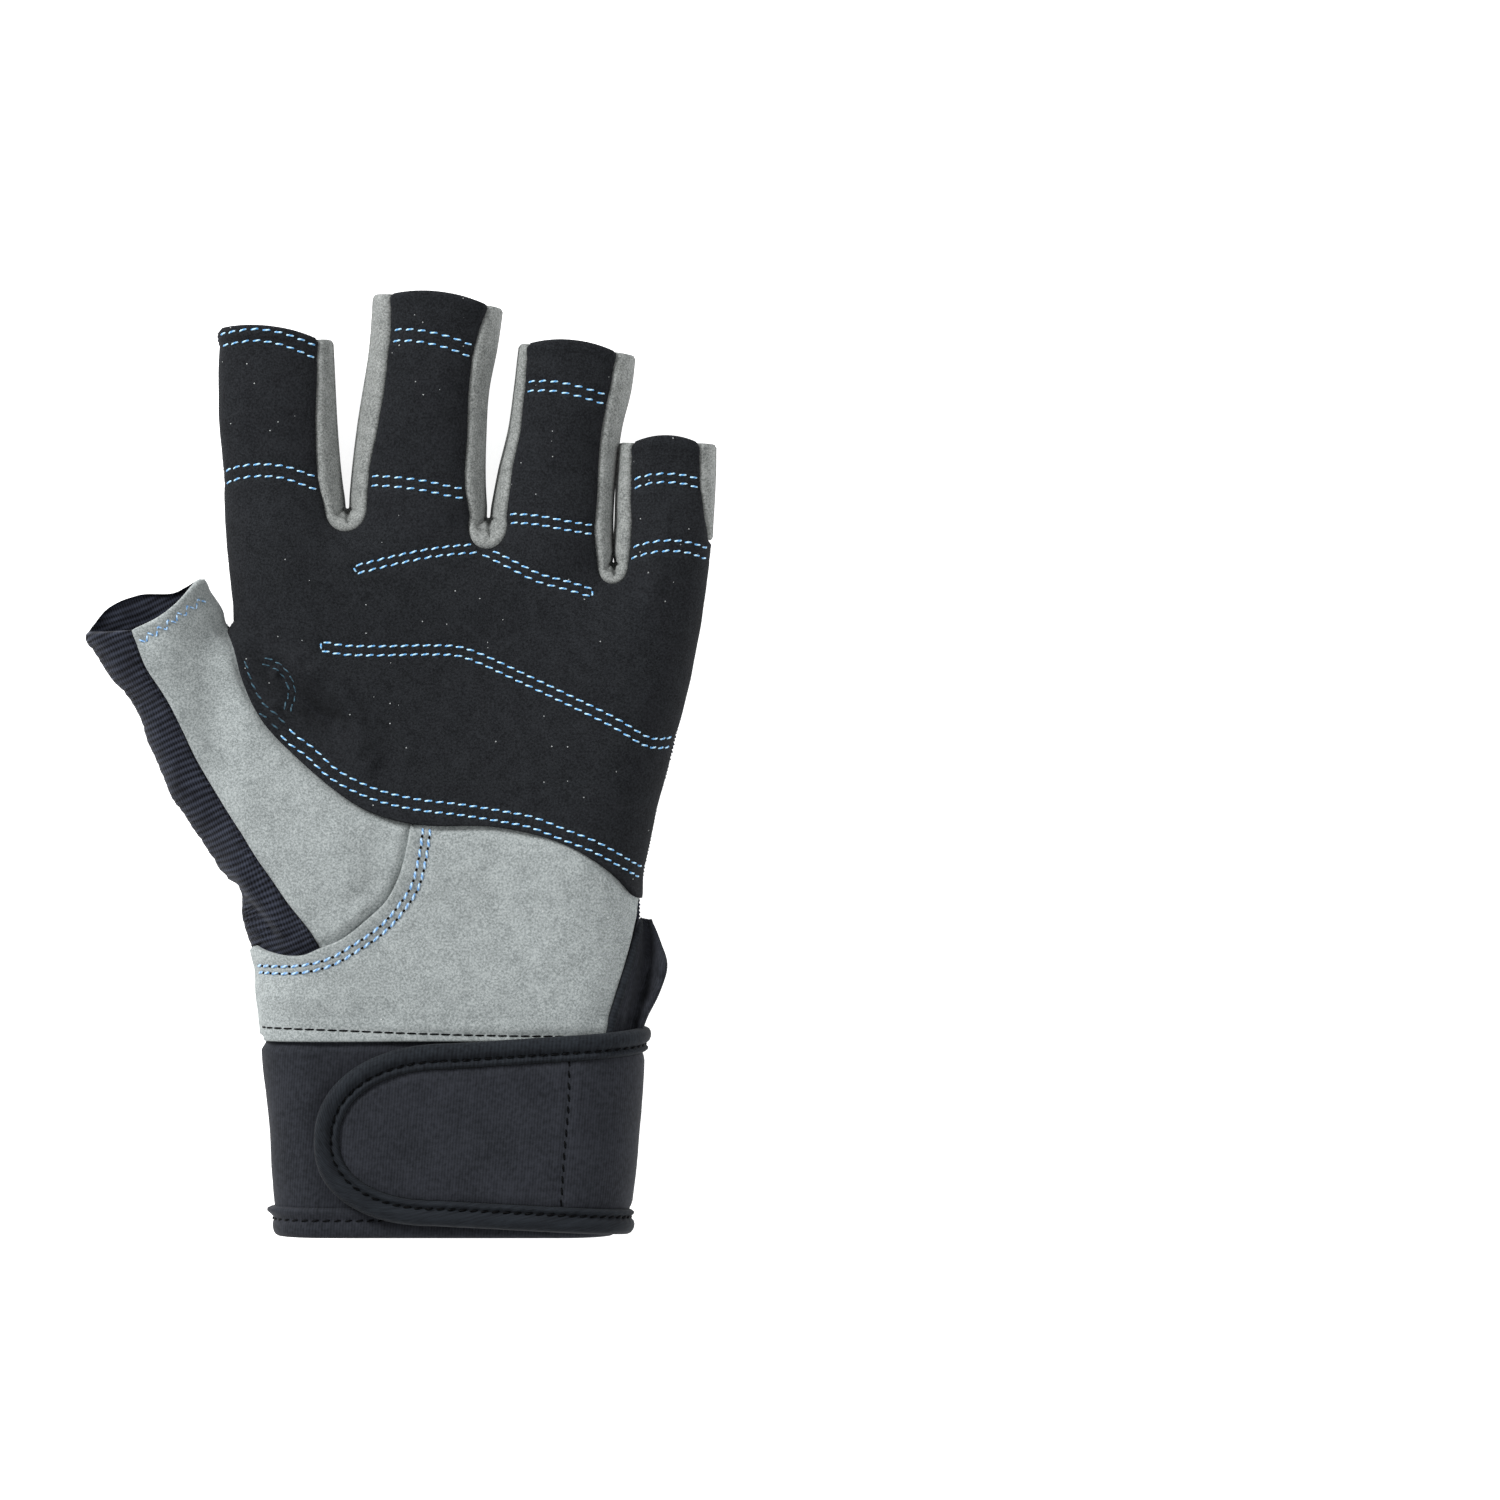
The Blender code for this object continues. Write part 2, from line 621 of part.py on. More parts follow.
def panel_sheet(loop):
    """A triangulated sheet on the form inside a closed loop: places, normals, triangles facing out."""
    border, places, normals = loop.close()
    plans, place_sets, normal_sets = [border], [places], [normals]
    for moved, ring_places, ring_normals in loop.rings:
        within, away = inside(moved, border)
        distance = nearest(moved)[0]
        keep = within & (away > 0.8 * np.minimum(distance, SIDE_STEP / 2))
        plans.append(moved[keep])
        place_sets.append(ring_places[keep])
        normal_sets.append(ring_normals[keep])
    grid = lattice(border)
    within, away = inside(grid, border)
    distance = nearest(grid)[0]
    beside = (distance < round_width(grid) * SIDE_REACH) & bool(loop.rings)
    grid = grid[within & (away > LATTICE * (BORDER_CLEAR + SIDE_CLEAR * beside))]
    grid_places, grid_normals = surface(grid, loop.side)
    plans.append(grid)
    place_sets.append(grid_places)
    normal_sets.append(grid_normals)
    flat = np.vstack(plans)
    vectors = [Vector((x, y)) for x, y in flat / MM]
    whole = delaunay_2d_cdt(vectors, [], [list(range(len(border)))], 1, 1e-5, True)
    faces = np.array(whole[2])
    faces = faces[(faces < len(flat)).all(axis=1)]
    faces = faces[inside(flat[faces].mean(axis=1), border)[0]]
    return np.vstack(place_sets), np.vstack(normal_sets), faces[:, :: loop.side].tolist()


def join_sheets(*sheets):
    """Several sheets as one, welded where their points meet."""
    places = np.vstack([s[0] for s in sheets])
    normals = np.vstack([s[1] for s in sheets])
    shift = np.cumsum([0] + [len(s[0]) for s in sheets])
    faces = [[i + shift[k] for i in face] for k, s in enumerate(sheets) for face in s[2]]
    cells = np.round(places / TINY).astype(np.int64)
    _, first, index = np.unique(cells, axis=0, return_index=True, return_inverse=True)
    index = index.reshape(-1)
    return places[first], normals[first], [[int(index[i]) for i in face] for face in faces]


def grid_faces(rows, columns, wrap=False):
    """Quads of a grid of points, row after row."""
    made = []
    for row in range(rows - 1):
        for column in range(columns if wrap else columns - 1):
            near, far = row * columns, (row + 1) * columns
            after = (column + 1) % columns
            made.append([near + column, near + after, far + after, far + column])
    return made


def triangles(faces):
    """The faces as triangles, with every quad cut along its first corner."""
    return [[face[0], *pair] for face in faces for pair in zip(face[1:], face[2:])]


def solid(name, places, normals, faces, thickness, finish):
    """A closed solid: the sheet, its inner face one thickness below, and the rim between them."""
    faces = triangles(faces)
    used = sorted({i for face in faces for i in face})
    index = {old: new for new, old in enumerate(used)}
    places, normals = places[used], normals[used]
    faces = [[index[i] for i in face] for face in faces]
    count = len(places)
    sides = {}
    for face in faces:
        for a, b in zip(face, face[1:] + face[:1]):
            sides[(a, b)] = True
    rim = triangles([b, a, a + count, b + count] for a, b in sides if (b, a) not in sides)
    under = [[i + count for i in reversed(face)] for face in faces]
    thick = np.broadcast_to(thickness, count)[:, None]
    points = np.vstack([places, places - normals * thick]) - (0, ORIGIN_ALONG, 0)
    mesh = bpy.data.meshes.new(name)
    mesh.from_pydata(points.tolist(), [], faces + under + rim)
    mesh.validate()
    mesh.shade_smooth()
    mesh.set_sharp_from_angle(angle=math.radians(SHARP_DEGREES))
    mesh.materials.append(material(*finish))
    made = bpy.data.objects.new(name, mesh)
    bpy.context.scene.collection.objects.link(made)
    return made


def material(name, colour, roughness):
    """A Principled material, made once for each finish."""
    found = bpy.data.materials.get(name)
    if found:
        return found
    made = bpy.data.materials.new(name)
    made.use_nodes = True
    shader = made.node_tree.nodes["Principled BSDF"]
    shader.inputs["Base Color"].default_value = (*colour, 1.0)
    shader.inputs["Roughness"].default_value = roughness
    return made


def grid_normals(places):
    """Unit normals of a grid of places, from its rows and columns."""
    made = np.cross(np.gradient(places, axis=1), np.gradient(places, axis=0))
    return made / np.linalg.norm(made, axis=2)[..., None]


def shown(line):
    """The seam beside a gap: the outline moved in by what shows of its side strip."""
    return line[:, :2] + right_normals(line) * (line[:, 2] * FOURCHETTE_SHOW)[:, None]


def hidden(line):
    """The seam beside a gap on the back."""
    return line[:, :2] + right_normals(line) * FOURCHETTE_BACK


def ended(rows, outline, height, first=False):
    """A seam through plan rows, pinned to an outline at one end."""
    end = stretch(outline, height - SIDE_STEP, height)
    pin = end[-1] if outline[-1, 1] > outline[0, 1] else end[0]
    rows = [pin, *rows] if first else [*rows, pin]
    return climbing(smooth(rows, SIDE_STEP))


LITTLE_LOW = PALM_LENGTH + LITTLE_STRIP[-1][0] * LITTLE_LENGTH
LITTLE_TIP = HAND_SIDE_LINE[0, 1]
INDEX_TIP = CROTCH_LINE[-1]
CROTCH = CROTCH_LINE[CROTCH_LOW, :2]
HAND_SIDE_LINE_AT_WRIST = HAND_OUTER[-1][0] * PALM_WIDTH
THUMB_TIP_OUT, THUMB_TIP_IN = THUMB_SIDE_LINE[-1], CROTCH_LINE[0, :2]
LOWER_END = PALM_LOWER_END * PALM_LENGTH
LOWER_SEAM = ended([CROTCH, *(plan(*row) for row in PALM_LOWER)], HAND_SIDE_LINE, LOWER_END)
BASE_SEAM = ended([plan(*row) for row in THUMB_BASE], THUMB_SIDE_LINE, RISE)
BACK_SEAM = ended([CROTCH, *(plan(*row) for row in THUMB_BACK_SEAM)], THUMB_SIDE_LINE, RISE)


def little_strip_line():
    """The outer side of the little finger down to where its grey strip ends, with what shows of it."""
    line = stretch(HAND_SIDE_LINE, LITTLE_LOW, LITTLE_TIP)
    ups = [up * LITTLE_LENGTH + PALM_LENGTH for up, _ in LITTLE_STRIP]
    show = np.interp(line[:, 1], ups[::-1], [share for _, share in LITTLE_STRIP][::-1])
    return np.column_stack([line, show])


def fingers_border(loop, seam_of, strip_seam):
    """Adds the four fingers to a loop: tips, gap seams and the little finger's side strip."""
    last = INDEX_TIP
    for line in GAP_LINES.values():
        seam = seam_of(line)
        loop.add(arch(last, seam[0], TIP_ARCH), "cut").add(seam[:-1], "seam").add(seam[-1:], "cut")
        last = seam[-1]
    return loop.add(arch(last, strip_seam[0], TIP_ARCH), "cut").add(strip_seam, "seam")


def nearest_row(line, point):
    """The index of the row of a line nearest a plan point."""
    return int(np.linalg.norm(line[:, :2] - np.array(point), axis=1).argmin())


def palm_panel():
    """The black palm with the fronts of the four fingers, down to its curved lower edge."""
    loop = Loop(1).add(CROTCH_LINE[CROTCH_LOW:], "edge")
    fingers_border(loop, shown, shown(little_strip_line()))
    loop.add(stretch(HAND_SIDE_LINE, LOWER_END, LITTLE_LOW)[1:], "edge")
    loop.add(LOWER_SEAM[::-1], "seam")
    return solid("palm_panel", *panel_sheet(loop), SUEDE, BLACK_SUEDE)


def heel_side_seam():
    """The slanted outer seam of the heel, where the vent begins."""
    return ended([plan(*row) for row in HEEL_SIDE], HAND_SIDE_LINE, LOWER_END, first=True)


def heel_panel():
    """The grey heel of the palm, between the palm, the thumb's base seam and the wrist."""
    seam = heel_side_seam()
    start = nearest_row(LOWER_SEAM, BASE_SEAM[0])
    loop = Loop(1).add(stretch(THUMB_SIDE_LINE, 0.0, RISE), "edge")
    loop.add(BASE_SEAM[::-1][:-1], "seam").add(LOWER_SEAM[start:], "seam").add(seam, "seam")
    loop.add(wrist_line(seam[-1, 0]), "seam")
    return solid("heel_panel", *panel_sheet(loop), SUEDE, GREY_SUEDE)


def vent_gusset():
    """The black gusset of the vent: it dips behind the heel's seam and flares out in a rounded flap."""
    seam = heel_side_seam()[::-1]
    heights = np.arange(SEAM_GAP / 2, seam[-1, 1], VENT_STEP)
    outline = np.column_stack([np.interp(heights, HAND_SIDE_LINE[::-1, 1], HAND_SIDE_LINE[::-1, 0]), heights])
    show = outline[:, 0] - np.interp(heights, seam[:, 1], seam[:, 0]) - SEAM_GAP / 2
    kept = show > SUEDE
    heights, outline, show = heights[kept], outline[kept], show[kept]
    inward = right_normals(outline[::-1])[::-1]
    front = np.degrees(np.arccos(1 - show / round_width(outline)))
    ups, flares = np.array(VENT_ROWS[::-1]).T
    flare = np.interp(heights / PALM_LENGTH, ups, flares)
    columns = []
    for share, out, up in VENT_SECTION:
        angle = front + (RIM_ANGLE - front) * share
        places, normals = at_angle(outline, inward, angle, 1)[1:]
        places[:, :2] -= inward * (out * VENT_FLARE * flare)[:, None]
        places[:, 2] += up * VENT_DEPTH * flare
        columns.append((places, normals))
    places = np.stack([c[0] for c in columns], axis=1)
    normals = np.stack([c[1] for c in columns], axis=1)
    normals[:, 1:-1] = grid_normals(places)[:, 1:-1]
    faces = grid_faces(*places.shape[:2])
    places, normals = places.reshape(-1, 3), normals.reshape(-1, 3)
    return solid("vent_gusset", places, normals, faces, STRETCH_CLOTH, BLACK_NEOPRENE)


def thumb_side_seam():
    """The seam between the thumb's grey front and its black side, down to the base seam."""
    low = BASE_SEAM[nearest_row(BASE_SEAM, plan(*THUMB_SIDE_FOOT))]
    return smooth([*(on_thumb(*row) for row in THUMB_SIDE), low], SIDE_STEP)


def thumb_front():
    """The grey front of the thumb, set between the palm's edge and the thumb's base seam."""
    side = thumb_side_seam()
    split = nearest_row(BASE_SEAM, side[-1])
    end = nearest_row(LOWER_SEAM, BASE_SEAM[0])
    mouth = smooth([side[0], *(on_thumb(*row) for row in THUMB_MOUTH_FRONT), THUMB_TIP_IN], SIDE_STEP)
    loop = Loop(1).add(mouth, "cut").add(CROTCH_LINE[: CROTCH_LOW + 1], "edge")
    loop.add(LOWER_SEAM[: end + 1], "seam").add(BASE_SEAM[1 : split + 1], "seam").add(side[::-1], "seam")
    loop.insets[-1] = False
    return solid("thumb_front", *panel_sheet(loop), SUEDE, GREY_SUEDE)


def thumb_back():
    """The black ribbed knit of the thumb: a strip on the palm side, folded round its side, and its back."""
    side = thumb_side_seam()
    split = nearest_row(BASE_SEAM, side[-1])
    outer = stretch(THUMB_SIDE_LINE, RISE, THUMB_TIP_OUT[1])
    mouth = climbing(np.array([THUMB_TIP_OUT, side[0]]))[1:-1]
    front = Loop(1).add(outer, "fold").add(mouth, "cut").add(side[:-1], "seam").add(BASE_SEAM[split:], "seam")
    behind = smooth([THUMB_TIP_OUT, *(on_thumb(*row) for row in THUMB_MOUTH_BACK), THUMB_TIP_IN], SIDE_STEP)
    back = Loop(-1).add(outer, "fold").add(behind, "cut").add(CROTCH_LINE[: CROTCH_LOW + 1], "edge")
    back.add(BACK_SEAM, "seam")
    sheet = join_sheets(panel_sheet(front), panel_sheet(back))
    return solid("thumb_back", *sheet, KNIT, BLACK_KNIT)


def back_panel():
    """The black ribbed back of the hand and of the fingers."""
    strip = little_strip_line()
    strip_seam = strip[:, :2] + right_normals(strip) * (FOURCHETTE_BACK * strip[:, 2:] / strip[0, 2])
    loop = Loop(-1).add(CROTCH_LINE[CROTCH_LOW:], "edge")
    fingers_border(loop, hidden, strip_seam)
    loop.add(stretch(HAND_SIDE_LINE, 0.0, LITTLE_LOW)[1:], "edge")
    loop.add(wrist_line(HAND_SIDE_LINE_AT_WRIST), "seam")
    loop.add(stretch(THUMB_SIDE_LINE, 0.0, RISE), "edge").add(BACK_SEAM[::-1], "seam")
    return solid("back_panel", *panel_sheet(loop), KNIT, BLACK_KNIT)


def side_strip(name, line, back_share):
    """A grey strip round the side of the fingers, from the palm's seam to the back's seam."""
    outline, inward = line[:, :2], right_normals(line)
    wide = round_width(outline)

    def seam_angle(show):
        return np.degrees(np.arccos(1 - np.maximum(show - SEAM_GAP / 2, 0.01 * MM) / wide))

    front = seam_angle(line[:, 2] * FOURCHETTE_SHOW)
    back = seam_angle(FOURCHETTE_BACK * back_share)
    columns = []
    for share in np.linspace(-1, 1, FOURCHETTE_COLUMNS + 1):
        angle = np.abs(share) * (front if share > 0 else back)
        columns.append(at_angle(outline, inward, angle, 1 if share >= 0 else -1)[1:])
    places = np.stack([c[0] for c in columns], axis=1).reshape(-1, 3)
    normals = np.stack([c[1] for c in columns], axis=1).reshape(-1, 3)
    return solid(name, places, normals, grid_faces(len(line), len(columns)), SUEDE, GREY_SUEDE)


def ring_columns(y):
    """The columns of the wrist's section at one y, from its outer side to its thumb side.

    They are the plan points, the sine and cosine of the angle up the rounded side, and the inward direction.
    """
    left = stretch(THUMB_SIDE_LINE, y, y + SIDE_STEP)[0]
    right = stretch(HAND_SIDE_LINE, y, y + SIDE_STEP)[-1]
    wide = round_width(np.array([left, right]))
    angles = np.radians([*SIDE_ANGLES, 90.0])
    from_right = right[0] - wide[1] * (1 - np.cos(angles))
    from_left = left[0] + wide[0] * (1 - np.cos(angles))
    level = np.linspace(from_right[-1], from_left[-1], RING_COLUMNS + 1)[1:-1]
    xs = np.concatenate([from_right, level, from_left[::-1]])
    sine = np.concatenate([np.sin(angles), np.ones(len(level)), np.sin(angles)[::-1]])
    cosine = np.concatenate([np.cos(angles), np.zeros(len(level)), np.cos(angles)[::-1]])
    inward = np.column_stack([np.where(xs > level.mean(), -1.0, 1.0), np.zeros(len(xs))])
    return np.column_stack([xs, np.full(len(xs), y)]), sine, cosine, inward


def wrist_line(start):
    """Plan points of the wrist seam from one x to the thumb side."""
    points = ring_columns(0.0)[0]
    return np.vstack([(start, 0.0), points[points[:, 0] < start - SEAM_GAP]])


def ring_at(y, proud=0.0):
    """The section of the wrist at one y, from its outer side over the palm side and back under."""
    columns = ring_columns(y)
    over = on_form(*columns, 1)
    under = on_form(*(c[-2:0:-1] for c in columns), -1)
    places, normals = np.vstack([over[0], under[0]]), np.vstack([over[1], under[1]])
    return places + normals * proud, normals


def band(name, heights, proud, thickness, finish):
    """A tube round the wrist through rings at the given heights."""
    rings = [ring_at(y, proud) for y in heights]
    places, normals = np.vstack([r[0] for r in rings]), np.vstack([r[1] for r in rings])
    faces = [face[::-1] for face in grid_faces(len(rings), len(rings[0][0]), wrap=True)]
    return solid(name, places, normals, faces, thickness, finish)


def round_wrist(reach, y, proud):
    """A place on the wrist at a distance from its outer side, over the palm side if it is positive."""
    places, normals = (np.vstack([ring, ring[:1]]) for ring in ring_at(y, proud))
    total = np.concatenate([[0.0], np.cumsum(np.linalg.norm(np.diff(places, axis=0), axis=1))])
    place = np.array([np.interp(reach % total[-1], total, places[:, k]) for k in range(3)])
    normal = np.array([np.interp(reach % total[-1], total, normals[:, k]) for k in range(3)])
    return place, normal / np.linalg.norm(normal)


def strap_edge(inset):
    """The strap's edge from the back over the palm side and back again: distance from the side, y."""
    start = STRAP_REACH - STRAP_ROUND
    reach = np.linspace(-STRAP_BACK, start, STRAP_COLUMNS)
    top = np.interp(reach, (0.0, start), STRAP_TOP) * CUFF_LENGTH - inset
    foot = np.interp(reach, (0.0, start), STRAP_FOOT) * CUFF_LENGTH + inset
    middle, half = (top[-1] + foot[-1]) / 2, (top[-1] - foot[-1]) / 2
    angles = np.linspace(0, math.pi, STRAP_END_POINTS + 2)[1:-1]
    power = 2 / STRAP_SQUARENESS
    out = start + (STRAP_ROUND - inset) * np.sin(angles) ** power
    up = middle + half * np.sign(np.cos(angles)) * np.abs(np.cos(angles)) ** power
    upper, lower = np.column_stack([reach, top]), np.column_stack([reach, foot])[::-1]
    return np.vstack([upper, np.column_stack([out, up]), lower])


def strap_panel():
    """The strap's flat inner panel, over the cuff and round its outer side to the back."""
    edge = strap_edge(BINDING_WIDTH + SEAM_GAP / 2)
    half = len(edge) // 2
    top, foot = edge[:half], edge[::-1][:half]
    rows = [foot + (top - foot) * share for share in np.linspace(0, 1, STRAP_ROWS + 1)]
    made = [round_wrist(*point, STRAP_BASE + STRAP_THICKNESS) for point in np.vstack([*rows, edge[half]])]
    places, normals = (np.array([m[k] for m in made]) for k in (0, 1))
    faces = [face[::-1] for face in grid_faces(len(rows), half)]
    ends = np.arange(1, len(rows) + 1) * half - 1
    faces += [[int(a), int(b), len(places) - 1] for a, b in zip(ends, ends[1:])]
    return solid("strap_panel", places, normals, faces, STRAP_THICKNESS, BLACK_NEOPRENE)


def strap_binding():
    """The folded binding round the strap's edge, a flat bead thicker than the strap."""
    rows = [strap_edge(share * (BINDING_WIDTH - SEAM_GAP / 2)) for share, _ in BINDING_SECTION]
    crown = [share * BINDING_THICKNESS for _, share in BINDING_SECTION]
    made = [round_wrist(*point, STRAP_BASE + rise) for row, rise in zip(rows, crown) for point in row]
    places, normals = (np.array([m[k] for m in made]) for k in (0, 1))
    thickness = np.repeat(crown, len(rows[0]))
    faces = grid_faces(len(rows), len(rows[0]))
    return solid("strap_binding", places, normals, faces, thickness, BLACK_NEOPRENE)


def clear_scene():
    """Removes whatever the scene holds."""
    for item in list(bpy.data.objects):
        bpy.data.objects.remove(item, do_unlink=True)


def main():
    clear_scene()
    palm_panel()
    heel_panel()
    vent_gusset()
    thumb_front()
    thumb_back()
    back_panel()
    for name, line in GAP_LINES.items():
        side_strip("fourchette_" + name, line, 1.0)
    strip = little_strip_line()
    side_strip("little_side_strip", strip, strip[:, 2] / strip[0, 2])
    heights = np.linspace(HEM_TOP, -SEAM_GAP / 2, CUFF_ROWS + 1)
    band("cuff", heights, 0.0, NEOPRENE, BLACK_NEOPRENE)
    band("cuff_hem", [-CUFF_LENGTH, HEM_TOP - SEAM_GAP], HEM_PROUD, NEOPRENE + HEM_PROUD, BLACK_NEOPRENE)
    strap_panel()
    strap_binding()


main()
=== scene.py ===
"""Dresses a left-hand sailing glove with open fingertips, which lies on its back with the palm up.

The glove is a flattened tube of sewn panels: black and grey suede on the palm side, ribbed knit on the back,
and a neoprene cuff with a closing strap. Each panel is a sheet of cloth on the glove's form, with its edges
turned, lapped or tucked as they are sewn, and the threads are laid on it stitch by stitch.

Plan points are measured from the middle of the wrist seam: x across the palm towards the little finger, y
towards the fingertips. The frame's origin is half a palm's length above the wrist seam.
"""

import logging
import math
from dataclasses import dataclass, field
from enum import Enum

import bpy
import numpy as np
from bpy.types import Material, Node, NodeSocket, NodeTree, Object
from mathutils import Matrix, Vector, noise
from mathutils.geometry import delaunay_2d_cdt


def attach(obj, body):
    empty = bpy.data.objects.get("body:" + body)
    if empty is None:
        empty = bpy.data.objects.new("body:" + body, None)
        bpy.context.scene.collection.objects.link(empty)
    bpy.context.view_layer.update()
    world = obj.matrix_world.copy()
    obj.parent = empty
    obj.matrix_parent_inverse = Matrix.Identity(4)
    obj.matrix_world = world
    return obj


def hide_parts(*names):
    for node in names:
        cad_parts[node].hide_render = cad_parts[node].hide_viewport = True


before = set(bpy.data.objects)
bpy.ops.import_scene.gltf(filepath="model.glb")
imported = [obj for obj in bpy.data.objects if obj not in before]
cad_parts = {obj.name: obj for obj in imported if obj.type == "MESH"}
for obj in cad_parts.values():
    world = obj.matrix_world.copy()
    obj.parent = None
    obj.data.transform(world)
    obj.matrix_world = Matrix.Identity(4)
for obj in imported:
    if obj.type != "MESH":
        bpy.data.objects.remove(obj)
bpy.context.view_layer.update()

Array = np.ndarray
# Two numbers, such as a plan point, a span or the width and length of a cut
Pair = tuple[float, float]
# Places or distances, and the normals or directions there
Placed = tuple[Array, Array]
LOG = logging.getLogger("sailing_glove")
MM = 0.001
# Lengths up to this one count as none
TINY = 1e-7
# How many points are measured against a border at once, which bounds the memory
BATCH = 1500
# How finely borders, seams and folds are cut
FINE_STEP = 0.8 * MM
# Points of a border that are closer than this are one point
SAME_POINT = 0.12 * MM
# Edges between faces that meet at more than this angle stay sharp
SHARP_ANGLE = math.radians(55)

# Small maths


def ease(value: Array | float) -> Array:
    """A smooth step: 0 below 0, 1 above 1."""
    value = np.clip(value, 0.0, 1.0)
    return value * value * (3 - 2 * value)


def ramp(value: Array, span: Pair) -> Array:
    """A smooth step from 0 before a span to 1 after it."""
    return ease((value - span[0]) / (span[1] - span[0]))


def between(start: Array, end: Array, low: float, high: float, at: Array) -> Array:
    """The place between two points, where the first stands for one value and the second for another."""
    return start * (high - at) / (high - low) + end * (at - low) / (high - low)


def smooth_path(rows: list | Array, step: float = FINE_STEP) -> Array:
    """Draws a centripetal Catmull-Rom curve through rows, with every column carried along.

    Args:
        rows: Points whose first two columns are x and y.
        step: The distance between the points that are made.

    Returns:
        The points of the curve, the first and last row among them.
    """
    rows = np.array(rows, float)
    ahead = np.vstack([2 * rows[0] - rows[1], rows, 2 * rows[-1] - rows[-2]])
    made = [rows[:1]]
    for a, b, c, d in zip(ahead, ahead[1:], ahead[2:], ahead[3:]):
        runs = [max(float(np.linalg.norm((q - p)[:2])), TINY) for p, q in ((a, b), (b, c), (c, d))]
        k0, k1, k2, k3 = np.cumsum([0.0, *np.sqrt(runs)])
        count = max(1, round(float(np.linalg.norm((c - b)[:2])) / step))
        t = np.linspace(k1, k2, count + 1)[1:, None]
        ab, bc, cd = between(a, b, k0, k1, t), between(b, c, k1, k2, t), between(c, d, k2, k3, t)
        made.append(between(between(ab, bc, k0, k2, t), between(bc, cd, k1, k3, t), k1, k2, t))
    return np.vstack(made)


def path_lengths(line: Array) -> Array:
    """The distance along a line at each of its points."""
    return np.concatenate([[0.0], np.cumsum(np.linalg.norm(np.diff(line, axis=0), axis=1))])


def columns_at(line: Array, total: Array, at: Array) -> Array:
    """Reads every column of a line at distances along it."""
    return np.column_stack([np.interp(at, total, column) for column in line.T])


def resample(line: Array, step: float) -> Array:
    """Cuts a line into even steps, keeping both ends."""
    total = path_lengths(line[:, :2])
    return columns_at(line, total, np.linspace(0, total[-1], max(2, round(total[-1] / step) + 1)))


def normalised(vectors: Array) -> Array:
    """The same directions with a length of 1."""
    return vectors / np.maximum(np.linalg.norm(vectors, axis=-1, keepdims=True), TINY**2)


def bell(distance: Array, width: float) -> Array:
    """A soft bump: 1 at no distance, and next to nothing from two widths on."""
    return np.exp(-((distance / width) ** 2))


def right_normals(points: Array) -> Array:
    """Unit normals to the right-hand side of a plan curve, where the cloth is."""
    along = normalised(np.gradient(points[:, :2], axis=0))
    return np.column_stack([along[:, 1], -along[:, 0]])


def nearest_on(points: Array, starts: Array, ends: Array) -> Placed:
    """Finds the nearest place on a set of plan segments.

    Args:
        points: The plan points that are asked about.
        starts: The first ends of the segments.
        ends: Their other ends.

    Returns:
        The distance of each point, and the unit direction from the segments to it. A point on a segment gets
        the segment's right-hand normal.
    """
    run = ends - starts
    squares = np.maximum((run**2).sum(1), TINY**2)
    unit = run / np.sqrt(squares)[:, None]
    across = np.column_stack([unit[:, 1], -unit[:, 0]])
    found, directions = [], []
    for first in range(0, len(points), BATCH):
        batch = points[first : first + BATCH]
        share = np.einsum("pij,ij->pi", batch[:, None] - starts, run) / squares
        away = batch[:, None] - (starts + np.clip(share, 0, 1)[..., None] * run)
        distance = np.linalg.norm(away, axis=2)
        best = distance.argmin(1)
        rows = np.arange(len(batch))
        near = distance[rows, best]
        direction = away[rows, best] / np.maximum(near, TINY)[:, None]
        directions.append(np.where(near[:, None] > TINY, direction, across[best]))
        found.append(near)
    return np.concatenate(found), np.vstack(directions)


def distance_to(points: Array, line: Array) -> Array:
    """The distance from plan points to a line."""
    return nearest_on(points, line[:-1, :2], line[1:, :2])[0]


def inside(points: Array, border: Array) -> Array:
    """Tells which plan points lie in a closed border."""
    start, end = border, np.roll(border, -1, axis=0)
    rise = np.where(end[:, 1] == start[:, 1], TINY**2, end[:, 1] - start[:, 1])
    answers = []
    for first in range(0, len(points), BATCH):
        batch = points[first : first + BATCH, None]
        crosses = (start[:, 1] > batch[..., 1]) != (end[:, 1] > batch[..., 1])
        x = start[:, 0] + (batch[..., 1] - start[:, 1]) / rise * (end[:, 0] - start[:, 0])
        answers.append((crosses & (batch[..., 0] < x)).sum(1) % 2 == 1)
    return np.concatenate(answers)


def rounded_drop(distance: Array, depth: float, width: float) -> Array:
    """How far cloth falls where it rolls over an edge, as a quarter of an ellipse."""
    share = np.clip(1 - distance / width, 0, 1)
    return -depth * (1 - np.sqrt(np.maximum(1 - share**2, 0)))


def noise_at(points: Array, size: float, seed: float) -> Array:
    """Smooth noise from -1 to 1 over plan points, with features of one size."""
    return np.array([noise.noise(Vector((x / size, y / size, seed))) for x, y in points[:, :2].tolist()])


def grid_faces(rows: int, columns: int, wrap: bool = False, close: bool = False) -> list[list[int]]:
    """The quads of a grid of points. It can wrap round its columns and close over its rows."""
    made = []
    for row in range(rows if close else rows - 1):
        near, far = row * columns, (row + 1) % rows * columns
        for column in range(columns if wrap else columns - 1):
            after = (column + 1) % columns
            made.append([near + column, near + after, far + after, far + column])
    return made


def grid_normals(places: Array) -> Array:
    """The unit normals of a grid of places."""
    return normalised(np.cross(np.gradient(places, axis=1), np.gradient(places, axis=0)))


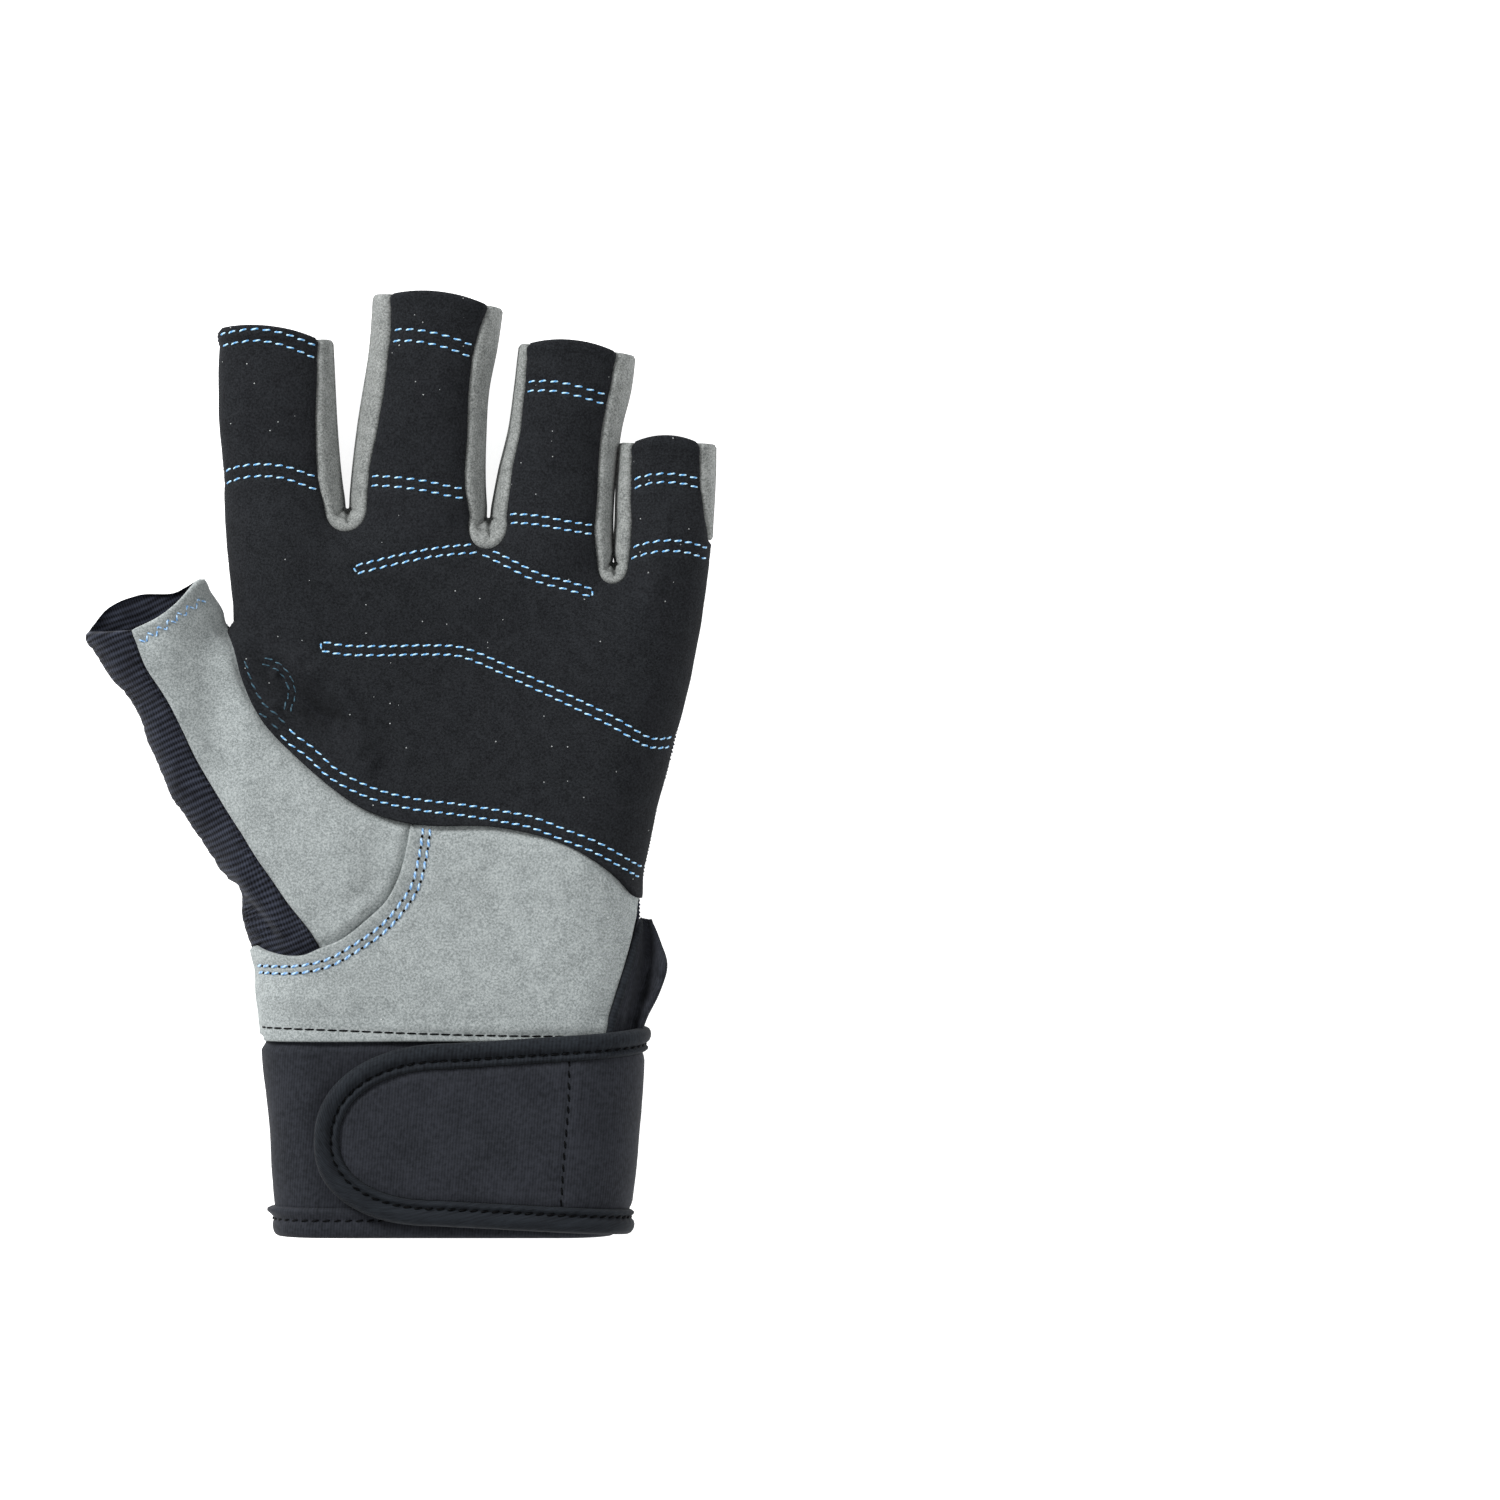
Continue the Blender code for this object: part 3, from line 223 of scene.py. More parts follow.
def tube(centres: Array, beside: Array, up: Array, radii: Array, along: Array, sides: int) -> tuple[Array,
         list[list[int]], Array]:
    """Makes a closed tube round a line.

    Args:
        centres: The points of the line.
        beside: Unit directions across the line, along the cloth.
        up: Unit directions away from the cloth.
        radii: The radius at each point.
        along: The texture coordinate along the tube at each point.
        sides: How many sides the tube has.

    Returns:
        Points, faces and texture coordinates.
    """
    turn = np.linspace(0, 2 * math.pi, sides, endpoint=False)
    ring = beside[:, None] * np.cos(turn)[:, None] + up[:, None] * np.sin(turn)[:, None]
    points = (centres[:, None] + ring * radii[:, None, None]).reshape(-1, 3)
    cloth = np.stack(np.broadcast_arrays(along[:, None], turn * radii.max()), axis=2).reshape(-1, 2)
    last = (len(centres) - 1) * sides
    ends = [list(reversed(range(sides))), list(range(last, last + sides))]
    return points, grid_faces(len(centres), sides, wrap=True) + ends, cloth


# The glove's form


class Side(Enum):
    """The two faces of the flattened glove."""

    PALM = 1
    BACK = -1


@dataclass(frozen=True)
class Finger:
    """One finger: its length beyond the knuckle line, and its middle, thickness and rounding as shares."""

    length: float
    middle: float
    thickness: float
    rounding: float


@dataclass(frozen=True)
class Dent:
    """A hollow or swell of the palm side: its middle and reach as shares of the palm, and its height."""

    across: float
    along: float
    wide: float
    long: float
    height: float


FINGERS = {
    "index": Finger(43 * MM, -0.33, 0.856, 0.747),
    "middle": Finger(50.5 * MM, -0.02, 0.884, 0.773),
    "ring": Finger(40 * MM, 0.25, 0.837, 0.707),
    "little": Finger(19 * MM, 0.46, 0.744, 0.627),
}

# The walls of the gaps between the fingers, from one fingertip round the bottom to the next.
# Columns: finger, share of the palm's width, share of the finger's length, share of the strip that shows.
# The bottom's: shares of the palm's width and length, what shows of the strip below it and beside it.
GAP_WALLS = {
    "index_middle": (
        (("index", -0.22, 0.95, 0.75), ("index", -0.211, 0.505, 1.2), ("index", -0.203, 0.281, 1.3)),
        (-0.19, 1.047, 1.45, 1.15),
        (("middle", -0.18, 0.261, 1.1), ("middle", -0.169, 0.45, 1.4), ("middle", -0.145, 0.775, 1.3),
         ("middle", -0.137, 1.0, 1.2)),
    ),
    "middle_ring": (
        (("middle", 0.126, 0.94, 0.85), ("middle", 0.114, 0.775, 1.2), ("middle", 0.097, 0.594, 1.1),
         ("middle", 0.091, 0.388, 1.0), ("middle", 0.09, 0.22, 1.15)),
        (0.098, 1.028, 1.95, 1.0),
        (("ring", 0.11, 0.2, 1.0), ("ring", 0.12, 0.335, 0.85), ("ring", 0.14, 0.548, 0.7),
         ("ring", 0.151, 0.75, 0.6), ("ring", 0.162, 1.0, 0.55)),
    ),
    "ring_little": (
        (("ring", 0.391, 0.94, 0.95), ("ring", 0.381, 0.75, 1.0), ("ring", 0.362, 0.548, 0.9),
         ("ring", 0.349, 0.26, 0.8), ("ring", 0.345, 0.012, 0.78)),
        (0.353, 0.938, 1.25, 0.72),
        (("little", 0.362, 0.026, 0.8), ("little", 0.365, 0.547, 0.7), ("little", 0.37, 1.0, 0.7)),
    ),
}


# Outlines and seams. Columns: shares of the palm's width and of the palm's length from the wrist seam.
THUMB_INNER = ((-0.486, 0.91), (-0.462, 0.876), (-0.442, 0.842))
CROTCH_BOTTOM = (-0.428, 0.816)
INDEX_OUTER = ((-0.422, 0.862), (-0.436, 0.975))
THUMB_OUTER = ((-0.364, 0.0), (-0.377, 0.11), (-0.388, 0.18), (-0.402, 0.232), (-0.417, 0.281),
    (-0.482, 0.377), (-0.547, 0.472), (-0.592, 0.578), (-0.618, 0.648), (-0.677, 0.724), (-0.723, 0.794))
HAND_OUTER = ((0.555, 0.991), (0.544, 0.906), (0.525, 0.781), (0.499, 0.658), (0.466, 0.534),
    (0.436, 0.41), (0.415, 0.311), (0.404, 0.152), (0.385, 0.0))
PALM_LOWER = ((-0.408, 0.762), (-0.392, 0.707), (-0.355, 0.633), (-0.29, 0.564), (-0.163, 0.465),
    (-0.087, 0.435), (-0.023, 0.425), (0.117, 0.422), (0.244, 0.393), (0.321, 0.354), (0.372, 0.317))
PALM_LOWER_END = 0.274
THUMB_BASE = ((-0.048, 0.43), (-0.057, 0.377), (-0.072, 0.32), (-0.099, 0.269), (-0.138, 0.232),
    (-0.189, 0.193), (-0.237, 0.173), (-0.274, 0.159), (-0.333, 0.161))
THUMB_BASE_END = 0.178
THUMB_SIDE = ((-0.62, 0.803), (-0.592, 0.73), (-0.54, 0.648), (-0.488, 0.541), (-0.437, 0.459),
    (-0.371, 0.357), (-0.307, 0.269), (-0.255, 0.206))
THUMB_SIDE_FOOT = (-0.237, 0.173)
HEEL_SIDE = ((0.4055, 0.24), (0.3985, 0.212), (0.384, 0.161), (0.366, 0.097), (0.348, 0.037), (0.34, 0.0))
THUMB_BACK_SEAM = ((-0.35, 0.64), (-0.31, 0.4), (-0.33, 0.24))
THUMB_MOUTH_FRONT = ((-0.561, 0.832), (-0.524, 0.863))
THUMB_MOUTH_BACK = ((-0.681, 0.848), (-0.619, 0.876), (-0.546, 0.881), (-0.513, 0.896))
# The fingers' outer sides. Columns: share of the palm's width, share of the finger's length.
INDEX_OUTER_TIP = ((-0.444, 0.307), (-0.451, 0.65), (-0.453, 1.0))
LITTLE_OUTER_TIP = ((0.564, 0.985), (0.562, 0.547))
# The little finger's outer strip. Columns: share of the finger's length, share of the strip that shows.
LITTLE_STRIP = ((0.985, 1.1), (0.547, 0.9), (0.2, 0.55), (-0.09, 0.14))

DENTS = (
    Dent(0.05, 0.66, 0.26, 0.24, -0.1),
    Dent(-0.25, 0.62, 0.09, 0.08, -0.12),
    Dent(-0.36, 0.74, 0.05, 0.09, -0.1),
    Dent(-0.18, 0.3, 0.17, 0.17, 0.08),
    Dent(0.22, 0.22, 0.2, 0.16, 0.05),
    Dent(0.38, 0.72, 0.12, 0.22, 0.05),
)


@dataclass
class GloveForm:
    """The glove's form: its outlines in plan, and how its two faces rise from them."""

    palm_width: float = 104 * MM
    palm_length: float = 107 * MM
    thumb_thickness: float = 21 * MM
    palm_thickness: float = 24 * MM
    knuckle_thickness: float = 21.5 * MM
    wrist_thickness: float = 20 * MM
    thumb_lift: float = 5 * MM
    wrist_lift: float = 4.6 * MM
    web_radius: float = 0.4 * MM
    crotch_radius: float = 0.9 * MM
    tip_arch: float = 1.6 * MM
    cuff_length: float = 42 * MM
    cuff_taper: float = 3.6 * MM
    palm_round: float = 15 * MM
    cuff_round: float = 11 * MM
    thumb_round: float = 12.5 * MM
    strip_show: float = 3.2 * MM
    strip_back: float = 2.8 * MM
    wrist_to_palm: Pair = (0.0, 0.35)
    palm_to_knuckle: Pair = (0.55, 0.95)
    knuckle_to_finger: Pair = (0.92, 1.14)
    hand_to_thumb: Pair = (0.2, 0.4)
    hand_to_thumb_across: Pair = (-0.37, -0.47)
    thumb_climb: Pair = (0.3, 0.85)
    thumb_climb_across: Pair = (-0.41, -0.57)
    strap_to_palm: Pair = (0.03, 0.3)
    gaps: dict[str, Array] = field(init=False)

    def __post_init__(self) -> None:
        """Draws the outlines and the seams."""
        self.rise = THUMB_BASE_END * self.palm_length
        wrist = THUMB_OUTER[0][0] * self.palm_width
        self.thumb_side = smooth_path([*self.cuff_side(-1, wrist), *self.plans(THUMB_OUTER)])
        self.gaps = {name: self.gap_line(*walls) for name, walls in GAP_WALLS.items()}
        self.crotch_line, self.crotch_low = self.crotch()
        tip = [self.on_finger("little", *row) for row in LITTLE_OUTER_TIP]
        cuff = reversed(self.cuff_side(1, HAND_OUTER[-1][0] * self.palm_width))
        self.hand_side = smooth_path([*tip, *self.plans(HAND_OUTER), *cuff])
        lines = [self.thumb_side, self.crotch_line, *self.gaps.values(), self.hand_side]
        self.starts = np.vstack([line[:-1, :2] for line in lines])
        self.ends = np.vstack([line[1:, :2] for line in lines])
        self.crotch_point = self.crotch_line[self.crotch_low, :2]
        self.lower_end = PALM_LOWER_END * self.palm_length
        pin = self.at_height(self.hand_side, self.lower_end)
        self.lower_seam = smooth_path([self.crotch_point, *self.plans(PALM_LOWER), pin])
        pin = self.at_height(self.thumb_side, self.rise)
        self.base_seam = smooth_path([*self.plans(THUMB_BASE), pin])
        self.back_seam = smooth_path([self.crotch_point, *self.plans(THUMB_BACK_SEAM), pin])
        foot = self.base_seam[self.nearest_row(self.base_seam, self.plan(*THUMB_SIDE_FOOT))]
        self.thumb_seam = smooth_path([*self.plans(THUMB_SIDE), foot])
        pin = self.at_height(self.hand_side, self.lower_end)
        self.heel_side = smooth_path([pin, *self.plans(HEEL_SIDE)])

    def plan(self, across: float, along: float) -> Pair:
        """A plan point from shares of the palm's width and length."""
        return across * self.palm_width, along * self.palm_length

    def plans(self, rows: tuple) -> list[Pair]:
        """Plan points from a table of shares."""
        return [self.plan(*row[:2]) for row in rows]

    def on_finger(self, name: str, across: float, up: float) -> Pair:
        """A plan point from a share of the palm's width and a share of a finger's length."""
        return across * self.palm_width, self.palm_length + up * FINGERS[name].length

    def cuff_side(self, side: int, wrist: float) -> list[Pair]:
        """The cuff's side from the hem towards the wrist seam."""
        return [(wrist - side * self.cuff_taper * s, -self.cuff_length * s) for s in (1.0, 0.5)]

    def notch(self, before: list, bottom: tuple, shows: Pair, radius: float, after: list,
              cuts: int = 9) -> tuple[Array, int]:
        """Draws an outline down one wall, round the bottom of a gap and up the other wall.

        Args:
            before: Rows of the first wall, from its tip.
            bottom: The lowest point of the gap.
            shows: The shares of the side strip that show below the bottom and beside it.
            radius: The radius of the bottom.
            after: Rows of the second wall, to its tip.
            cuts: How many points the bottom gets.

        Returns:
            The outline, and the index of its lowest point.
        """
        angles = np.radians(np.linspace(180, 360, cuts))
        ring = np.array(bottom) + (0, radius)
        ring = ring + radius * np.column_stack([np.cos(angles), np.sin(angles)])
        arc = np.column_stack([ring, shows[1] + (shows[0] - shows[1]) * np.sin(angles) ** 2])
        down, up = smooth_path([*before, arc[0]]), smooth_path([arc[-1], *after])
        return np.vstack([down, arc[1:-1], up]), len(down) + len(arc) // 2 - 1

    def gap_line(self, before: tuple, bottom: tuple, after: tuple) -> Array:
        """The outline of one gap between two fingers. Columns: x, y, share of the strip that shows."""
        first = [(*self.on_finger(finger, x, up), s) for finger, x, up, s in before]
        last = [(*self.on_finger(finger, x, up), s) for finger, x, up, s in after]
        return self.notch(first, self.plan(*bottom[:2]), bottom[2:], self.web_radius, last, 31)[0]

    def crotch(self) -> tuple[Array, int]:
        """The outline from the thumb's mouth to the index fingertip, and the index of its lowest point."""
        thumb = [(*row, 1.0) for row in self.plans(THUMB_INNER)]
        index = [(*row, 1.0) for row in self.plans(INDEX_OUTER)]
        tip = [(*self.on_finger("index", *row), 1.0) for row in INDEX_OUTER_TIP]
        return self.notch(thumb, self.plan(*CROTCH_BOTTOM), (1.0, 1.0), self.crotch_radius, [*index, *tip])

    def at_height(self, line: Array, y: float) -> Pair:
        """The point of an outline at one height."""
        order = 1 if line[-1, 1] > line[0, 1] else -1
        return float(np.interp(y, line[::order, 1], line[::order, 0])), y

    def stretch(self, line: Array, low: float, high: float) -> Array:
        """The part of an outline between two heights, in the outline's own order."""
        ends = [self.at_height(line, low), self.at_height(line, high)]
        inner = line[(line[:, 1] > low + TINY) & (line[:, 1] < high - TINY), :2]
        rising = line[-1, 1] > line[0, 1]
        return np.vstack([ends[0] if rising else ends[1], inner, ends[1] if rising else ends[0]])

    def nearest_row(self, line: Array, point: tuple | Array) -> int:
        """The index of the point of a line that is nearest a plan point."""
        return int(np.linalg.norm(line[:, :2] - np.array(point)[:2], axis=1).argmin())

    def blended(self, points: Array, cuff: float, palm: float, knuckle: float, column: str, thumb: float,
                unit: float) -> Array:
        """A size that changes along the hand.

        Args:
            points: Plan points.
            cuff: The size at the cuff.
            palm: The size at the palm.
            knuckle: The size at the knuckles.
            column: The field of each Finger that holds its share.
            thumb: The size at the thumb.
            unit: The size that the fingers' shares are of.

        Returns:
            The size at each point.
        """
        along, across = points[:, 1] / self.palm_length, points[:, 0] / self.palm_width
        middles = [finger.middle for finger in FINGERS.values()]
        fingers = np.interp(across, middles, [getattr(f, column) for f in FINGERS.values()]) * unit
        hand = cuff + (palm - cuff) * ramp(along, self.wrist_to_palm)
        hand = hand + (knuckle - hand) * ramp(along, self.palm_to_knuckle)
        hand = hand + (fingers - hand) * ramp(along, self.knuckle_to_finger)
        share = ramp(along, self.hand_to_thumb) * ramp(across, self.hand_to_thumb_across)
        return hand + (thumb - hand) * share

    def half_thickness(self, points: Array) -> Array:
        """Half the thickness of the level part of the glove."""
        sizes = (self.wrist_thickness, self.palm_thickness, self.knuckle_thickness)
        return self.blended(points, *sizes, "thickness", self.thumb_thickness, self.knuckle_thickness) / 2

    def round_width(self, points: Array) -> Array:
        """The plan width over which the cloth rounds over."""
        sizes = (self.cuff_round, self.palm_round, self.palm_round)
        return self.blended(points, *sizes, "rounding", self.thumb_round, self.palm_round)

    def lift(self, points: Array) -> Array:
        """How far the glove's back stands off the floor, at the thumb and at the wrist."""
        along, across = points[:, 1] / self.palm_length, points[:, 0] / self.palm_width
        thumb = self.thumb_lift * ramp(along, self.thumb_climb) * ramp(across, self.thumb_climb_across)
        return thumb + self.wrist_lift * (1 - ramp(along, self.strap_to_palm))

    def dents(self, points: Array) -> Array:
        """The hollows and swells of the palm side."""
        made = np.zeros(len(points))
        for dent in DENTS:
            x = (points[:, 0] / self.palm_width - dent.across) / dent.wide
            y = (points[:, 1] / self.palm_length - dent.along) / dent.long
            made += dent.height * self.palm_thickness * np.exp(-(x * x + y * y))
        return made

    def on_form(self, points: Array, sine: Array, cosine: Array, inward: Array, side: int) -> Placed:
        """Places and outward normals on the form.

        Args:
            points: Plan points.
            sine: The sine of the angle up the rounded side at each.
            cosine: Its cosine.
            inward: The unit plan direction away from the outline.
            side: 1 for the palm side, -1 for the back.

        Returns:
            The places and the unit normals.
        """
        thick, wide = self.half_thickness(points), self.round_width(points)
        z = thick + self.lift(points) + side * thick * sine
        if side > 0:
            z = z + self.dents(points) * sine * sine
        normals = np.column_stack([-inward * (cosine / wide)[:, None], side * sine / thick])
        return np.column_stack([points, z]), normalised(normals)

    def surface(self, points: Array, side: int) -> Placed:
        """Places and normals on the form, over or under plan points."""
        distance, inward = nearest_on(points, self.starts, self.ends)
        cosine = np.clip(1 - distance / self.round_width(points), 0, 1)
        return self.on_form(points, np.sqrt(1 - cosine**2), cosine, inward, side)

    def at_angle(self, points: Array, inward: Array, angle: Array | float, side: int) -> Placed:
        """Places and normals at an angle up the rounded side from outline points."""
        angle = np.broadcast_to(angle, len(points)).astype(float)
        moved = points + inward * (self.round_width(points) * (1 - np.cos(angle)))[:, None]
        return self.on_form(moved, np.sin(angle), np.cos(angle), inward, side)

    def shown(self, line: Array) -> Array:
        """The palm-side seam beside a gap: the outline moved in by what shows of its strip."""
        return line[:, :2] + right_normals(line) * (line[:, 2] * self.strip_show)[:, None]

    def little_strip(self) -> Array:
        """The little finger's outer side down to where its grey strip ends, with what shows of it."""
        little = FINGERS["little"].length
        low = self.palm_length + LITTLE_STRIP[-1][0] * little
        line = self.stretch(self.hand_side, low, self.hand_side[0, 1])
        ups = [self.palm_length + up * little for up, _ in LITTLE_STRIP]
        show = np.interp(line[:, 1], ups[::-1], [share for _, share in LITTLE_STRIP][::-1])
        return np.column_stack([line, show])

    def arch(self, start: Array, end: Array) -> Array:
        """A fingertip's edge, which arches between two plan points."""
        start, end = np.array(start[:2]), np.array(end[:2])
        along = end - start
        length = float(np.linalg.norm(along))
        out = np.array([-along[1], along[0]]) / length
        shares = np.linspace(0, 1, max(3, round(length / FINE_STEP)) + 1)[:, None]
        return start + along * shares + out * self.tip_arch * 4 * shares * (1 - shares)

    def wrist_section(self, y: float) -> Placed:
        """The closed section of the wrist at one height.

        Args:
            y: The height in plan.

        Returns:
            Places and normals from the outer side over the palm side and back under the wrist.
        """
        left, right = self.at_height(self.thumb_side, y)[0], self.at_height(self.hand_side, y)[0]
        wide = self.round_width(np.array([(left, y), (right, y)]))
        angles = np.radians(np.linspace(0, 90, 13))
        from_right, from_left = right - wide[1] * (1 - np.cos(angles)), left + wide[0] * (1 - np.cos(angles))
        level = np.linspace(from_right[-1], from_left[-1], 36)[1:-1]
        xs = np.concatenate([from_right, level, from_left[::-1]])
        sine = np.concatenate([np.sin(angles), np.ones(len(level)), np.sin(angles)[::-1]])
        cosine = np.concatenate([np.cos(angles), np.zeros(len(level)), np.cos(angles)[::-1]])
        inward = np.column_stack([np.where(xs > level.mean(), -1.0, 1.0), np.zeros(len(xs))])
        columns = (np.column_stack([xs, np.full(len(xs), y)]), sine, cosine, inward)
        over, under = self.on_form(*columns, 1), self.on_form(*(c[-2:0:-1] for c in columns), -1)
        return np.vstack([over[0], under[0]]), np.vstack([over[1], under[1]])


# Cloth edges, folds and sheets


class Edge(Enum):
    """How a sheet ends along one run of its border."""

    FOLD = "whole cloth that folds round the glove's side"
    SIDE = "seam at the glove's side"
    TURNED = "cloth turned down into a seam"
    LAPPED = "raw edge sewn over the next panel"
    TUCKED = "edge that lies under the next panel"
    HEMMED = "turned and stitched end"


@dataclass(frozen=True)
class EdgeShape:
    """How the cloth of one kind of edge runs, in mm."""

    # How far out from its seam line it ends
    out: float = 0.0
    # How high the cloth beside it lies, over which width, and over which width that fades away
    lift: float = 0.0
    lifted: float = 0.0
    fade: float = 1.0
    # How far its rim rolls down, and over which width
    drop: float = 0.0
    roll: float = 1.0
    # Where rows of points follow it inside
    rows: tuple[float, ...] = ()


EDGE_SHAPES = {
    Edge.FOLD: EdgeShape(),
    Edge.SIDE: EdgeShape(drop=0.45, roll=1.1),
    Edge.TURNED: EdgeShape(-0.04, drop=0.6, roll=0.9, rows=(0.1, 0.3, 0.6, 1.0, 1.5)),
    Edge.LAPPED: EdgeShape(0.6, 0.45, 2.6, 2.6, 0.4, 0.4, (0.1, 0.3, 0.6, 1.1, 1.7)),
    Edge.TUCKED: EdgeShape(0.9, -1.05, 1.5, 2.0, rows=(0.9, 1.6, 2.3, 3.0)),
    Edge.HEMMED: EdgeShape(0.0, 0.35, 1.8, 1.4, 0.6, 0.7, (0.1, 0.3, 0.7, 1.2, 1.7, 2.3)),
}
# Cloth that is folded or seamed at the glove's side gets rows of points at these angles up the side
SIDE_ROWS = tuple(math.radians(a) for a in (2.0, 4.5, 8.0, 12.0, 17.0, 23.0, 29.0, 36.0))
# Lapped and tucked edges lie flatter beside the glove's outline: the share left there, and where it grows
FLATTENED = 0.15
FREE_SPAN = (0.2 * MM, 2.6 * MM)
# What a row of stitches pulls in: the depth and width of the groove, and of the hollow round it
THREAD_PULL = ((0.26 * MM, 0.5 * MM), (0.14 * MM, 2.2 * MM))
# Nothing sinks further into the form than this
DEEPEST = 2.6 * MM
# Triangles under this area in square metres are left out
SLIVER = 1e-12


@dataclass(frozen=True)
class Fold:
    """A soft fold or valley in the cloth, in mm: its line from the wrist seam, its height and its width."""

    line: tuple[Pair, ...]
    height: float
    width: float

    def relief(self, points: Array) -> Array:
        """How far the fold lifts the cloth at plan points."""
        line = smooth_path(np.array(self.line) * MM, 2 * MM)
        ends = [np.linalg.norm(points - end, axis=1) for end in (line[0], line[-1])]
        fade = ease(np.minimum(*ends) / (1.6 * self.width * MM) + 0.25)
        return self.height * MM * bell(distance_to(points, line), self.width * MM) * fade


@dataclass(frozen=True)
class Wrinkles:
    """Low irregular waves of soft cloth, with their size and height in mm."""

    size: float
    height: float
    seed: float

    def relief(self, points: Array) -> Array:
        """How far the waves lift the cloth at plan points."""
        return self.height * MM * noise_at(points, self.size * MM, self.seed)


@dataclass(frozen=True)
class Ribs:
    """The ribs of a knit, which run across its own length."""

    pitch: float
    height: float
    turn: float
    sway: float = 1.2 * MM

    def rib_place(self, points: Array) -> Array:
        """The place along the knit's length, counted in metres across the ribs."""
        straight = points[:, 1] * math.cos(self.turn) + points[:, 0] * math.sin(self.turn)
        return straight + self.sway * noise_at(points, 11 * MM, 0.7)

    def relief(self, points: Array) -> Array:
        """Rounded ribs with narrow valleys between them."""
        return self.height * (np.abs(np.sin(math.pi * self.rib_place(points) / self.pitch)) ** 0.6 - 1)


class Sheet:
    """A sheet of cloth on the glove's form, inside a closed border whose runs each end in their own way."""

    def __init__(self, form: GloveForm, side: Side, thickness: float, reliefs: list | None = None,
                 spacing: float = 0.9 * MM) -> None:
        """Starts an empty sheet.

        Args:
            form: The glove's form.
            side: The face of the glove that it lies on.
            thickness: The cloth's thickness, which is kept but not used.
            reliefs: Folds, wrinkles and ribs.
            spacing: The distance between the points of its mesh.
        """
        self.form, self.side, self.thickness, self.spacing = form, side, thickness, spacing
        self.reliefs = list(reliefs or [])
        self.points: list[Array] = []
        self.edges: list[Edge] = []
        self.threads: list[Array] = []
        self.aspect, self.turn = 1.0, 0.0

    def add(self, points: Array, edge: Edge) -> "Sheet":
        """Adds a run to the border, clockwise in plan, and gives the sheet back."""
        for point in np.asarray(points, float)[:, :2]:
            if self.points and np.linalg.norm(point - self.points[-1]) < SAME_POINT:
                self.edges[-1] = edge
                continue
            self.points.append(point)
            self.edges.append(edge)
        return self

    def close(self) -> "Sheet":
        """Closes the border, moves each run to where its cloth ends, and gives the sheet back."""
        if np.linalg.norm(self.points[0] - self.points[-1]) < SAME_POINT:
            self.points.pop()
            self.edges.pop()
        points = np.array(self.points)
        ahead = normalised(np.roll(points, -1, axis=0) - points)
        out = np.column_stack([-ahead[:, 1], ahead[:, 0]])
        amount = np.array([EDGE_SHAPES[edge].out * MM for edge in self.edges])
        back_out, back_amount = np.roll(out, 1, axis=0), np.roll(amount, 1)
        middle = normalised(out + back_out)
        lean = np.maximum((middle * out).sum(1), 0.5)
        move = middle * ((amount + back_amount) / 2 / lean)[:, None]
        room = 0.8 * nearest_on(points, self.form.starts, self.form.ends)[0]
        move *= np.minimum(1, room / np.maximum(np.linalg.norm(move, axis=1), TINY))[:, None]
        self.border = points + move
        self.inward = -middle
        after = np.roll(self.border, -1, axis=0)
        kinds = np.array([edge.name for edge in self.edges])
        self.runs = {e: (self.border[kinds == e.name], after[kinds == e.name]) for e in Edge}
        return self

    def clear_of_border(self, points: Array, room: Array | float) -> Array:
        """The plan points that lie inside the border, with more than some room to it."""
        near = nearest_on(points, self.border, np.roll(self.border, -1, axis=0))[0]
        return points[inside(points, self.border) & (near > room)]

    def sew(self, lines: list[Array]) -> list[Array]:
        """Cuts stitch rows to what lies inside the closed border, and keeps them as the sheet's threads."""
        kept = [self.clear_of_border(resample(line, 0.25 * MM), 0.45 * MM) for line in lines]
        kept = [line for line in kept if len(line) > 4]
        self.threads += kept
        return kept

    def edge_distances(self, points: Array) -> dict[Edge, Array]:
        """The distance from plan points to each kind of edge that the border has."""
        return {e: nearest_on(points, *run)[0] for e, run in self.runs.items() if len(run[0])}

    def edge_relief(self, points: Array) -> Array:
        """How far the sewn edges lift or drop the cloth."""
        made = np.zeros(len(points))
        free = ramp(nearest_on(points, self.form.starts, self.form.ends)[0], FREE_SPAN)
        free = FLATTENED + (1 - FLATTENED) * free
        for edge, distance in self.edge_distances(points).items():
            shape = EDGE_SHAPES[edge]
            lift = shape.lift * MM * (free if edge in (Edge.LAPPED, Edge.TUCKED) else 1.0)
            made += lift * (1 - ease((distance - shape.lifted * MM) / (shape.fade * MM)))
            if edge is Edge.SIDE:
                cosine = np.clip(1 - distance / self.form.round_width(points), 0, 1)
                distance = self.form.half_thickness(points) * np.sqrt(1 - cosine**2)
            made += rounded_drop(distance, shape.drop * MM, shape.roll * MM)
        return made

    def thread_relief(self, points: Array) -> Array:
        """How far the thread of the stitch rows pulls the cloth in."""
        made = np.zeros(len(points))
        for near in (distance_to(points, line) for line in self.threads):
            for depth, width in THREAD_PULL:
                made -= depth * bell(near, width)
        return made

    def place(self, points: Array) -> Placed:
        """Places and the form's normals on the outer face of the cloth, at plan points."""
        places, normals = self.form.surface(points, self.side.value)
        relief = self.edge_relief(points) + self.thread_relief(points)
        for term in self.reliefs:
            relief = relief + term.relief(points)
        relief = np.maximum(relief, -DEEPEST)
        places = places + normals * relief[:, None]
        places[:, 2] = np.maximum(places[:, 2], 0.0)
        return places, normals

